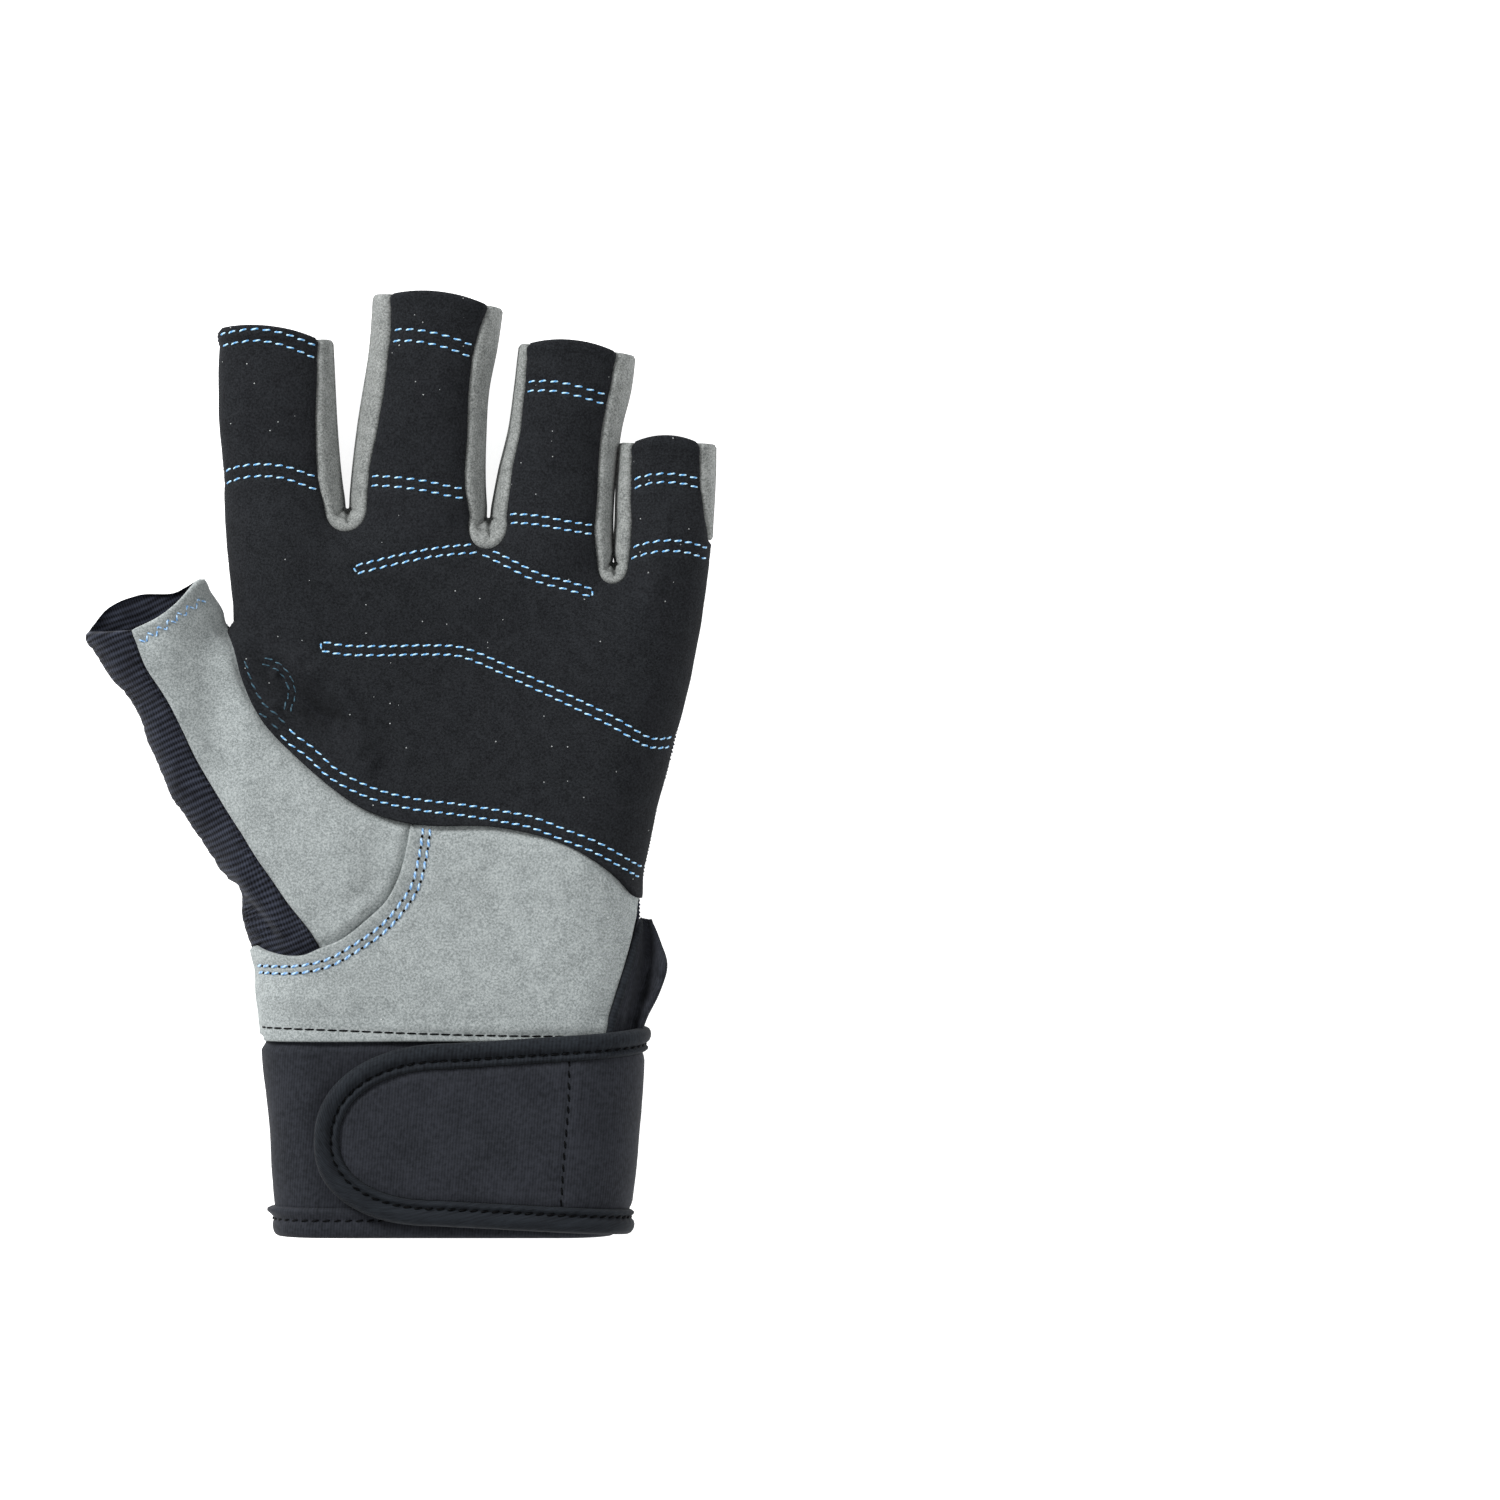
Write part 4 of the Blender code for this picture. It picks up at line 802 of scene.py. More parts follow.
    def edge_rows(self) -> Array:
        """Rows of points that follow the edges inside the border."""
        made = []
        wide = self.form.round_width(self.border)
        for edge in Edge:
            chosen = np.array([e is edge for e in self.edges])
            if not chosen.any():
                continue
            steps = [np.full(chosen.sum(), row * MM) for row in EDGE_SHAPES[edge].rows]
            steps = steps or [wide[chosen] * (1 - math.cos(angle)) for angle in SIDE_ROWS]
            for step in steps:
                moved = self.border[chosen] + self.inward[chosen] * step[:, None]
                made.append(self.clear_of_border(moved, 0.85 * step))
        return np.vstack(made)

    def lattice(self) -> Array:
        """Points of a triangular lattice inside the border, clear of its edges and of the stitch rows."""
        across = self.spacing * self.aspect
        turned = self.turned(self.border)
        low, high = turned.min(0), turned.max(0)
        grid = []
        for row, y in enumerate(np.arange(low[1], high[1], self.spacing * math.sqrt(3) / 2)):
            xs = np.arange(low[0] + across / 2 * (row % 2), high[0], across)
            grid.append(np.column_stack([xs, np.full(len(xs), y)]))
        grid = self.turned(np.vstack(grid), back=True)
        grid = grid[inside(grid, self.border)]
        keep = np.ones(len(grid), bool)
        for edge, distance in self.edge_distances(grid).items():
            if EDGE_SHAPES[edge].rows:
                clear = np.full(len(grid), EDGE_SHAPES[edge].rows[-1] * MM)
            else:
                clear = self.form.round_width(grid) * (1 - math.cos(SIDE_ROWS[-1]))
            keep &= distance > clear + 0.5 * self.spacing
        for line in self.threads:
            keep &= distance_to(grid, line) > 0.95 * MM
        return grid[keep]

    def turned(self, points: Array, back: bool = False) -> Array:
        """Turns plan points to the direction of the cloth's ribs, or back."""
        turn = -self.turn if back else self.turn
        c, s = math.cos(turn), math.sin(turn)
        return np.column_stack([points[:, 0] * c - points[:, 1] * s, points[:, 0] * s + points[:, 1] * c])

    def thread_rows(self) -> Array:
        """Rows of points along the stitch rows and on both sides of them."""
        made = [np.zeros((0, 2))]
        for line in self.threads:
            line = resample(line[:, :2], 0.7 * MM)
            for offset in (-0.55 * MM, 0.0, 0.55 * MM):
                made.append(self.clear_of_border(line + right_normals(line) * offset, 0.4 * MM))
        return np.vstack(made)

    def triangulate(self) -> tuple[Array, Array]:
        """Cuts the sheet into triangles.

        Returns:
            The plan points, and the triangles as rows of indices, facing out.
        """
        plans = np.vstack([self.border, self.edge_rows(), self.thread_rows(), self.lattice()])
        squeezed = self.turned(plans) / MM / (self.aspect, 1.0)
        vectors = [Vector((x, y)) for x, y in squeezed.tolist()]
        made = delaunay_2d_cdt(vectors, [], [list(range(len(self.border)))], 1, 1e-5, True)
        first = [group[0] if group and group[0] < len(plans) else -1 for group in made[3]]
        fresh = self.turned(np.array([tuple(v) for v in made[0]]) * (self.aspect, 1.0) * MM, back=True)
        flat = np.array([plans[i] if i >= 0 else fresh[k] for k, i in enumerate(first)])
        faces = np.array(made[2])
        faces = faces[inside(flat[faces].mean(axis=1), self.border)]
        corners = flat[faces]
        a, b = corners[:, 1] - corners[:, 0], corners[:, 2] - corners[:, 0]
        area = a[:, 0] * b[:, 1] - a[:, 1] * b[:, 0]
        faces, area = faces[np.abs(area) > SLIVER], area[np.abs(area) > SLIVER]
        flip = area * self.side.value < 0
        faces[flip] = faces[flip][:, ::-1]
        return flat, faces


@dataclass
class ClothMesh:
    """Places, normals, faces and texture coordinates of one or several joined sheets."""

    places: Array
    normals: Array
    faces: list[list[int]]
    cloth: Array

    @staticmethod
    def of(sheet: Sheet) -> "ClothMesh":
        """The mesh of one sheet. Its texture coordinates are its plan points in metres, along the ribs."""
        flat, faces = sheet.triangulate()
        places, normals = sheet.place(flat)
        cloth = sheet.turned(flat)
        for ribs in (term for term in sheet.reliefs if isinstance(term, Ribs)):
            cloth[:, 1] = ribs.rib_place(flat)
        return ClothMesh(places, normals, faces.tolist(), cloth)

    @staticmethod
    def grid(places: Array, normals: Array, cloth: Array) -> "ClothMesh":
        """The mesh of a grid of places, with their normals and texture coordinates."""
        faces = grid_faces(*places.shape[:2])
        return ClothMesh(places.reshape(-1, 3), normals.reshape(-1, 3), faces, cloth.reshape(-1, 2))

    @staticmethod
    def joined(meshes: list["ClothMesh"]) -> "ClothMesh":
        """Several meshes as one, welded where their points meet."""
        places = np.vstack([m.places for m in meshes])
        normals, cloth = np.vstack([m.normals for m in meshes]), np.vstack([m.cloth for m in meshes])
        shift = np.cumsum([0] + [len(m.places) for m in meshes])
        faces = [[i + int(shift[k]) for i in face] for k, m in enumerate(meshes) for face in m.faces]
        cells = np.round(places / (0.002 * MM)).astype(np.int64)
        _, first, index = np.unique(cells, axis=0, return_index=True, return_inverse=True)
        index = index.reshape(-1).tolist()
        faces = [[index[i] for i in face] for face in faces]
        return ClothMesh(places[first], normals[first], faces, cloth[first])


def new_object(name: str, places: Array, faces: list, cloth: Array | None = None) -> Object:
    """Makes a mesh object in the row frame.

    Args:
        name: The piece's name.
        places: Its points, measured from the wrist seam.
        faces: Its faces.
        cloth: The texture coordinates of each point, in metres.

    Returns:
        The object, smooth but for its sharp rims.
    """
    mesh = bpy.data.meshes.new(name)
    points = places - (0, GLOVE.palm_length / 2, 0)
    mesh.from_pydata(points.tolist(), [], faces)
    if cloth is not None:
        layer = mesh.uv_layers.new(name="Cloth")
        index = np.zeros(len(mesh.loops), np.int32)
        mesh.loops.foreach_get("vertex_index", index)
        layer.data.foreach_set("uv", cloth[index].astype(np.float32).reshape(-1))
    mesh.validate()
    mesh.shade_smooth()
    mesh.set_sharp_from_angle(angle=SHARP_ANGLE)
    made = bpy.data.objects.new(name, mesh)
    bpy.context.scene.collection.objects.link(made)
    return made


def thick_cloth(name: str, cloth: ClothMesh, thickness: Array | float) -> Object:
    """Makes a closed piece of cloth: the outer face, the inner face and the rim between them.

    Args:
        name: The piece's name.
        cloth: Its outer face.
        thickness: The cloth's thickness, everywhere or at each point.

    Returns:
        The object.
    """
    used = np.unique(np.concatenate([np.array(face) for face in cloth.faces]))
    index = {int(old): new for new, old in enumerate(used)}
    faces = [[index[i] for i in face] for face in cloth.faces]
    count = len(used)
    edges = {(a, b) for face in faces for a, b in zip(face, face[1:] + face[:1])}
    rim = [[b, a, a + count, b + count] for a, b in edges if (b, a) not in edges]
    under = [[i + count for i in reversed(face)] for face in faces]
    thick = np.broadcast_to(thickness, len(cloth.places))[used, None]
    outer = cloth.places[used]
    places = np.vstack([outer, outer - cloth.normals[used] * thick])
    return new_object(name, places, faces + under + sorted(rim), np.vstack([cloth.cloth[used]] * 2))


GLOVE = GloveForm()


# Finishes


def linear(code: str) -> tuple[float, float, float, float]:
    """Turns an sRGB hex colour into linear RGBA."""
    parts = [int(code[i : i + 2], 16) / 255 for i in (1, 3, 5)]
    return (*(p / 12.92 if p <= 0.04045 else ((p + 0.055) / 1.055) ** 2.4 for p in parts), 1.0)


def add_node(tree: NodeTree, kind: str, settings: dict | None = None, links: dict | None = None) -> Node:
    """Adds a node with its settings and links.

    Args:
        tree: The node tree.
        kind: The node's type, without its ShaderNode prefix.
        settings: Values of its inputs, by name or index, or of its own properties.
        links: What feeds each input, by its name or index: an output, or a node for its first output.

    Returns:
        The node.
    """
    node = tree.nodes.new("ShaderNode" + kind)
    for key, value in (settings or {}).items():
        if isinstance(key, int) or key in node.inputs:
            node.inputs[key].default_value = value
        else:
            setattr(node, key, value)
    for key, source in (links or {}).items():
        output = source.outputs[0] if isinstance(source, Node) else source
        tree.links.new(output, node.inputs[key])
    return node


def weighted_sum(tree: NodeTree, *terms: tuple[float, bpy.types.bpy_struct]) -> Node:
    """Adds several sources up, each times its weight."""
    total = None
    for weight, source in terms:
        links = {0: source} if total is None else {0: source, 2: total}
        total = add_node(tree, "Math", {"operation": "MULTIPLY_ADD", 1: weight, 2: 0.0}, links)
    return total


def two_tone(tree: NodeTree, dark: str, light: str, height: bpy.types.bpy_struct, span: Pair) -> NodeSocket:
    """A colour that goes from dark to light while the height goes through a span."""
    share = add_node(tree, "MapRange", {"From Min": span[0], "From Max": span[1]}, {"Value": height})
    mix = {"data_type": "RGBA", 6: linear(dark), 7: linear(light)}
    return add_node(tree, "Mix", mix, {0: share}).outputs[2]


def wave_scale(pitch: float) -> float:
    """The scale of a wave texture, whose bands repeat every tenth of pi, that gives bands this far apart."""
    return math.pi / 10 / pitch


def new_material(name: str) -> tuple[Material, NodeTree]:
    """An empty node material and its tree."""
    made = bpy.data.materials.new(name)
    made.use_nodes = True
    made.node_tree.nodes.clear()
    return made, made.node_tree


def finish_with(tree: NodeTree, settings: dict, links: dict) -> None:
    """Ends a material in a Principled shader with these settings and links."""
    shader = add_node(tree, "BsdfPrincipled", settings, links)
    add_node(tree, "OutputMaterial", links={"Surface": shader.outputs[0]})


@dataclass(frozen=True)
class NappedSuede:
    """Microfibre suede with a brushed nap: matt, mottled where the nap lies two ways, with a soft sheen."""

    name: str
    dark: str
    light: str
    speck: str
    # The nap leans one way or the other in patches of this size
    patch: float = 3.2 * MM
    # Real fibres are about 0.02 mm wide, too fine to show, so tufts of them are drawn instead
    tuft: float = 0.42 * MM
    # Lint sits in the nap: how far apart, how much of it shows, and how wide it is as a share of that
    speck_spacing: float = 1.7 * MM
    speck_share: float = 0.15
    speck_size: float = 0.085
    sheen: float = 0.2
    gloss: float = 0.15

    def material(self) -> Material:
        """Builds the material."""
        made, tree = new_material(self.name)
        place = {"Vector": add_node(tree, "TexCoord").outputs["Object"]}
        patch = add_node(tree, "TexNoise", {"Scale": 1 / self.patch, "Detail": 4.0, "Roughness": 0.62},
                         place)
        tuft = add_node(tree, "TexNoise", {"Scale": 1 / self.tuft, "Detail": 5.0, "Roughness": 0.78}, place)
        lean = weighted_sum(tree, (0.84, tuft), (0.16, patch))
        nap = two_tone(tree, self.dark, self.light, lean, (0.4, 0.61))
        dots = add_node(tree, "TexVoronoi", {"Scale": 1 / self.speck_spacing}, place)
        near = add_node(tree, "Math", {"operation": "LESS_THAN", 1: self.speck_size},
                        {0: dots.outputs["Distance"]})
        chance = add_node(tree, "SeparateColor", links={0: dots.outputs["Color"]})
        rare = add_node(tree, "Math", {"operation": "LESS_THAN", 1: self.speck_share}, {0: chance})
        seen = add_node(tree, "Math", {"operation": "MULTIPLY"}, {0: near, 1: rare})
        colour = add_node(tree, "Mix", {"data_type": "RGBA", 7: linear(self.speck)}, {0: seen, 6: nap})
        rough = add_node(tree, "MapRange", {"To Min": 0.86, "To Max": 0.98}, {"Value": tuft})
        bump = add_node(tree, "Bump", {"Strength": 0.45, "Distance": 0.12 * MM}, {"Height": lean})
        settings = {"Specular IOR Level": self.gloss, "Sheen Weight": self.sheen, "Sheen Roughness": 0.55}
        finish_with(tree, settings, {"Base Color": colour.outputs[2], "Roughness": rough, "Normal": bump})
        return made


@dataclass(frozen=True)
class RibbedKnit:
    """Nylon knit in rounded ribs, each crossed by small loops of yarn; its colour is painted shade in the
    dark valleys between them and painted highlight on their tops.
    """

    name: str
    dark: str
    light: str
    pitch: float = 1.3 * MM
    loop: float = 0.55 * MM
    # Painted highlight on the ribs is stronger in patches of this size
    painted_light_patch: float = 4 * MM

    def material(self) -> Material:
        """Builds the material."""
        made, tree = new_material(self.name)
        cloth = {"Vector": add_node(tree, "UVMap", {"uv_map": "Cloth"}).outputs[0]}
        ribs = add_node(tree, "TexWave", {"Scale": wave_scale(self.pitch), "bands_direction": "Y",
                                          "Distortion": 1.1, "Detail": 2.0, "Detail Scale": 0.3}, cloth)
        loops = add_node(tree, "TexWave", {"Scale": wave_scale(self.loop), "bands_direction": "X",
                                           "Distortion": 2.5, "Detail": 2.0, "Detail Scale": 0.4}, cloth)
        painted_light_patch = add_node(tree, "TexNoise", {"Scale": 1 / self.painted_light_patch, "Detail": 5.0, "Roughness": 0.7}, cloth)
        height = weighted_sum(tree, (0.42, loops.outputs[1]), (0.58, ribs.outputs[1]))
        painted_rib_light = add_node(tree, "Math", {"operation": "MULTIPLY"}, {0: height, 1: painted_light_patch})
        # The colour goes from painted shade in the valleys to painted highlight on the ribs and loops
        colour = two_tone(tree, self.dark, self.light, painted_rib_light, (0.05, 0.55))
        bump = add_node(tree, "Bump", {"Strength": 0.6, "Distance": 0.2 * MM}, {"Height": height})
        settings = {"Roughness": 0.82, "Specular IOR Level": 0.08, "Sheen Weight": 0.04,
                    "Sheen Roughness": 0.4}
        finish_with(tree, settings, {"Base Color": colour, "Normal": bump})
        return made


@dataclass(frozen=True)
class JerseyNeoprene:
    """Neoprene faced with nylon jersey: smooth and matt, with fine wales and a faint bluish mottling."""

    name: str
    dark: str
    light: str
    # Jersey wales are about 0.3 mm apart, drawn coarser so that they show
    wale: float = 0.62 * MM
    grain: float = 1.1 * MM
    mottle: float = 9 * MM
    strength: float = 0.35

    def material(self) -> Material:
        """Builds the material."""
        made, tree = new_material(self.name)
        cloth = {"Vector": add_node(tree, "UVMap", {"uv_map": "Cloth"}).outputs[0]}
        wales = add_node(tree, "TexWave", {"Scale": wave_scale(self.wale), "Distortion": 1.4, "Detail": 2.0,
                                           "Detail Scale": 0.5}, cloth)
        grain = add_node(tree, "TexNoise", {"Scale": 1 / self.grain, "Detail": 4.0, "Roughness": 0.65},
                         cloth)
        broad = add_node(tree, "TexNoise", {"Scale": 1 / self.mottle, "Detail": 3.0}, cloth)
        fine = weighted_sum(tree, (0.12, wales.outputs[1]), (0.62, grain))
        colour = two_tone(tree, self.dark, self.light, weighted_sum(tree, (1.0, fine), (0.26, broad)),
                          (0.36, 0.62))
        bump = add_node(tree, "Bump", {"Strength": self.strength, "Distance": 0.1 * MM}, {"Height": fine})
        settings = {"Roughness": 0.78, "Specular IOR Level": 0.08, "Sheen Weight": 0.03,
                    "Sheen Roughness": 0.5}
        finish_with(tree, settings, {"Base Color": colour, "Normal": bump})
        return made


@dataclass(frozen=True)
class SewingThread:
    """Twisted polyester thread with a slight gloss; its colour is painted shade in darker lines where its
    plies meet and painted highlight on the plies' crests.
    """

    name: str
    dark: str
    light: str
    twist: float = 0.7 * MM
    gloss: float = 0.4

    def material(self) -> Material:
        """Builds the material."""
        made, tree = new_material(self.name)
        cloth = {"Vector": add_node(tree, "UVMap", {"uv_map": "Cloth"}).outputs[0]}
        plies = add_node(tree, "TexWave", {"Scale": wave_scale(self.twist), "bands_direction": "DIAGONAL"},
                         cloth).outputs[1]
        # Painted shade where the plies meet, painted highlight on their crests
        mix = {"data_type": "RGBA", 6: linear(self.dark), 7: linear(self.light)}
        colour = add_node(tree, "Mix", mix, {0: plies})
        bump = add_node(tree, "Bump", {"Strength": 0.5, "Distance": 0.05 * MM}, {"Height": plies})
        settings = {"Roughness": 0.5, "Specular IOR Level": self.gloss, "Sheen Weight": 0.1 * self.gloss}
        finish_with(tree, settings, {"Base Color": colour.outputs[2], "Normal": bump})
        return made


@dataclass(frozen=True)
class Paper:
    """White background paper: matt, with hardly any tooth, lit from below as on a light table."""

    name: str
    colour: str
    glow: float = 0.9

    def material(self) -> Material:
        """Builds the material."""
        made, tree = new_material(self.name)
        place = {"Vector": add_node(tree, "TexCoord").outputs["Object"]}
        tooth = add_node(tree, "TexNoise", {"Scale": 1 / (2 * MM), "Detail": 2.0}, place)
        bump = add_node(tree, "Bump", {"Strength": 0.02, "Distance": 0.1 * MM}, {"Height": tooth})
        finish_with(tree, {"Base Color": linear(self.colour), "Roughness": 0.95, "Specular IOR Level": 0.0,
                           "Emission Color": linear(self.colour), "Emission Strength": self.glow},
                    {"Normal": bump})
        return made


class ThreadColour(Enum):
    """The colours of the sewing threads."""

    BLUE = "blue"
    # A darker copy of the blue, as painted shade on the rows in the hollow by the crotch
    DULL = "blue, sunk in the nap"
    PALE = "pale blue"
    BLACK = "black"


class Finishes:
    """Every finish of the glove, each built once."""

    def __init__(self) -> None:
        """Builds the materials."""
        # Dyed dark and brushed flat, it hardly shines, and pale lint shows on it
        self.black_suede = NappedSuede("black microfibre suede", "#131416", "#282a2d", "#9a9d9d",
                                       sheen=0.02, gloss=0.04).material()
        # Its raised nap lies two ways, which gives light and darker mottles and a soft rim of light
        self.grey_suede = NappedSuede("grey microfibre suede", "#6d7373", "#a6acac", "#c4c8c7",
                                      speck_share=0.05, sheen=0.1).material()
        # The strips are the same grey suede made darker, as painted shade where they turn down into the gaps
        # between the fingers
        self.shaded_strip_suede = NappedSuede("grey microfibre suede darkened as painted shade", "#585b5a", "#999c9a",
                                       "#aaadac", speck_share=0.05, sheen=0.06).material()
        # Its colour is painted shade in the valleys between its ribs and painted highlight on the ribs' tops
        self.knit = RibbedKnit("black ribbed nylon knit", "#08080b", "#363a46").material()
        # Its thin smooth facing spreads the light evenly
        self.neoprene = JerseyNeoprene("black jersey-faced neoprene", "#191b1f", "#2b2d33").material()
        # Knitted tape is coarser and takes the light more strongly
        self.binding = JerseyNeoprene("black knitted binding tape", "#121418", "#23272c", wale=0.8 * MM,
                                      strength=0.5).material()
        # Smooth filament threads glint along their stitches, from their gloss and from painted highlight on
        # their plies; the sunk blue one is a darker copy as painted shade and glints less, the black one
        # hardly
        self.threads = {
            ThreadColour.BLUE: SewingThread("blue polyester thread", "#4796d4", "#c4e9fc").material(),
            # The darker blue of the sunk thread is painted shade
            ThreadColour.DULL: SewingThread("blue thread sunk and darkened as painted shade", "#1b2f3c", "#3c5f70").material(),
            ThreadColour.PALE: SewingThread("pale blue polyester thread", "#5a90c8", "#b9d6ef").material(),
            ThreadColour.BLACK: SewingThread("black polyester thread", "#020203", "#0b0c0e",
                                             gloss=0.05).material(),
        }


# Stitches


@dataclass(frozen=True)
class StitchRow:
    """A row of stitches, in mm: its middle line from the wrist seam, and how it is sewn.

    A double row has its two lines spacing apart. A closed end is sewn across from one line to the other.
    """

    line: tuple[Pair, ...]
    spacing: float = 0.0
    colour: ThreadColour = ThreadColour.BLUE
    closed_start: bool = False
    closed_end: bool = False
    zigzag: float = 0.0

    def lines(self) -> list[Array]:
        """The plan lines that the needle follows."""
        middle = smooth_path(np.array(self.line) * MM, 0.5 * MM)
        if self.zigzag:
            return [self.zigzag_line(middle)]
        if not self.spacing:
            return [middle]
        out = right_normals(middle) * (self.spacing * MM) / 2
        made = [middle + out, middle - out]
        for closed, end in ((self.closed_start, 0), (self.closed_end, -1)):
            if closed:
                made.append(np.vstack([made[0][end], made[1][end]]))
        return made

    def zigzag_line(self, middle: Array) -> Array:
        """A line that swings from side to side of the middle one."""
        along = path_lengths(middle)
        corners = np.arange(0, along[-1], 1.25 * MM)
        on = columns_at(middle, along, corners)
        swing = np.where(np.arange(len(corners)) % 2, 1.0, -1.0) * (self.zigzag * MM)
        return on + right_normals(on) * swing[:, None]


PALM_ROWS = {
    "index_tip": StitchRow(((-47.6, 147.3), (-42.4, 148.2), (-38.8, 148.5), (-33.9, 147.8),
        (-29.7, 146.5), (-25.2, 144.6)), 2.4),
    "index_root": StitchRow(((-47.4, 117.9), (-42.8, 119.4), (-37.8, 119.9), (-32.5, 119.4),
        (-29.0, 118.3), (-25.0, 116.9)), 2.5),
    "middle_tip": StitchRow(((-12.0, 148.4), (-5.7, 148.4), (-0.8, 147.6), (3.8, 146.3), (9.0, 144.2)),
        2.4),
    "middle_root": StitchRow(((-16.0, 117.8), (-9.3, 117.4), (-2.5, 116.5), (2.1, 115.5), (6.0, 114.8)),
        2.0),
    "ring_tip": StitchRow(((17.2, 137.7), (23.6, 137.7), (28.6, 136.8), (36.6, 134.5)), 2.0),
    "ring_root": StitchRow(((12.2, 109.9), (20.1, 109.4), (26.5, 108.3), (34.2, 107.1)), 1.85),
    "little_tip": StitchRow(((39.4, 116.6), (44.5, 118.1), (48.8, 118.3), (53.0, 117.8), (56.2, 116.8)),
        1.8),
    "little_root": StitchRow(((38.8, 102.0), (44.5, 103.5), (48.8, 103.9), (53.0, 103.5), (57.6, 102.0)),
        2.2),
    "knuckle_left": StitchRow(((-17.6, 98.8), (-10.6, 100.5), (-3.6, 102.0), (2.1, 102.9), (8.4, 103.6)),
        1.7, closed_start=True),
    "knuckle_right": StitchRow(((9.4, 103.2), (14.4, 100.5), (21.2, 97.1), (26.9, 95.6), (32.6, 94.1)),
        1.7, closed_end=True),
    "middle_crease": StitchRow(((-24.7, 82.7), (-20.1, 81.9), (-12.7, 81.7), (-2.1, 81.9), (4.2, 81.6),
        (8.5, 80.2), (17.0, 76.3), (26.1, 72.0), (37.5, 66.4), (44.1, 62.6), (46.6, 62.1), (50.4, 62.6)),
        1.9, closed_start=True),
    "lower_edge": StitchRow(((-32.4, 64.9), (-31.2, 63.4), (-27.1, 60.4), (-22.0, 55.8), (-13.6, 51.6),
        (-4.9, 49.4), (4.9, 48.2), (14.8, 46.6), (19.7, 45.6), (26.5, 43.0), (33.3, 40.3), (43.0, 34.8)),
        2.2),
    # These rows lie in the hollow by the crotch: their thread is sunk low, and its darker blue is painted
    # shade
    "lower_edge_sunk": StitchRow(((-41.8, 79.5), (-39.9, 74.0), (-37.3, 69.7), (-34.8, 67.6),
        (-32.9, 65.5)), 1.9, ThreadColour.DULL),
    "crotch": StitchRow(((-37.3, 79.9), (-33.9, 78.4), (-31.6, 75.7), (-31.0, 72.5), (-32.0, 68.9)),
        1.4, ThreadColour.DULL),
}
HEEL_ROWS = {
    "thumb_base": StitchRow(((-2.3, 44.6), (-3.0, 39.2), (-4.7, 32.2), (-7.6, 27.6), (-11.4, 23.3),
        (-16.7, 19.5), (-22.8, 16.1), (-29.5, 14.6), (-38.6, 14.5)), 1.5, ThreadColour.PALE),
    "heel_foot": StitchRow(((-38.7, 2.4), (-23.3, 1.9), (-8.5, 1.3), (7.6, 0.8), (22.0, 0.6),
        (34.0, 0.6)), colour=ThreadColour.BLACK),
}
THUMB_ROWS = {
    "thumb_tip": StitchRow(((-62.6, 83.4), (-56.6, 87.2), (-53.3, 89.9), (-49.2, 92.8)),
        colour=ThreadColour.PALE, zigzag=0.8),
}


@dataclass(frozen=True)
class Stitcher:
    """Lays thread along lines on the cloth, one stitch after the other."""

    radius: float = 0.2 * MM
    stitch: float = 1.8 * MM
    pitch: float = 2.32 * MM
    slant: float = 0.16 * MM
    rise: float = 0.19 * MM
    start: float = 0.3 * MM
    # Short stitches of this length go into the gaps instead, where it is more than 0
    between: float = 0.0
    sides: int = 8
    # Along a stitch: where its rings are, and how thick and how high each is
    rings: tuple[tuple[float, float, float], ...] = (
        (0.0, 0.4, -1.1), (0.07, 0.78, -0.1), (0.22, 0.97, 0.75), (0.5, 1.0, 1.0), (0.78, 0.97, 0.75),
        (0.93, 0.78, -0.1), (1.0, 0.4, -1.1),
    )

    def along(self, lines: list[Placed]) -> tuple[Array, list, Array]:
        """Makes the stitches of several lines.

        Args:
            lines: For each line, places on the cloth and the cloth's normals there.

        Returns:
            Points, faces and texture coordinates.
        """
        tubes = []
        rings = np.array(self.rings)
        for places, normals in lines:
            total = path_lengths(places)
            room = total[-1] - 2 * self.start
            count = max(1, int((room + self.pitch - self.stitch) / self.pitch))
            length = min(self.stitch, room)
            spread = (room - length) / max(count - 1, 1)
            for k in range(count - 1 if self.between else count):
                first = self.start + k * spread
                at = first + rings[:, 0] * length
                if self.between:
                    at = first + (length + spread - self.between) / 2 + rings[:, 0] * self.between
                centre, up = columns_at(places, total, at), normalised(columns_at(normals, total, at))
                beside = np.cross(up, normalised(np.gradient(centre, axis=0)))
                centre = centre + up * (rings[:, 2] * self.rise)[:, None]
                centre = centre + beside * ((rings[:, 0] - 0.5) * 2 * self.slant)[:, None]
                tubes.append(tube(centre, beside, up, rings[:, 1] * self.radius, at, self.sides))
        shifts = np.cumsum([0] + [len(points) for points, _, _ in tubes]).tolist()
        faces = [[shift + i for i in face] for shift, made in zip(shifts, tubes) for face in made[1]]
        return np.vstack([made[0] for made in tubes]), faces, np.vstack([made[2] for made in tubes])


def sew(name: str, lines: list[Placed], material: Material, stitcher: Stitcher = Stitcher()) -> Object:
    """Makes one piece of all the stitches along some lines.

    Args:
        name: The piece's name.
        lines: For each line, places on the cloth and normals.
        material: The thread.
        stitcher: How the stitches are laid.

    Returns:
        The piece, which rides with the glove.
    """
    points, faces, cloth = stitcher.along(lines)
    made = new_object(name, points, faces, cloth)
    made.data.materials.append(material)
    return ride(made)


# Pieces


def ride(piece: Object) -> Object:
    """Fastens a piece to the glove and reports it."""
    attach(piece, "root")
    LOG.info("%s: %d faces", piece.name, len(piece.data.polygons))
    return piece


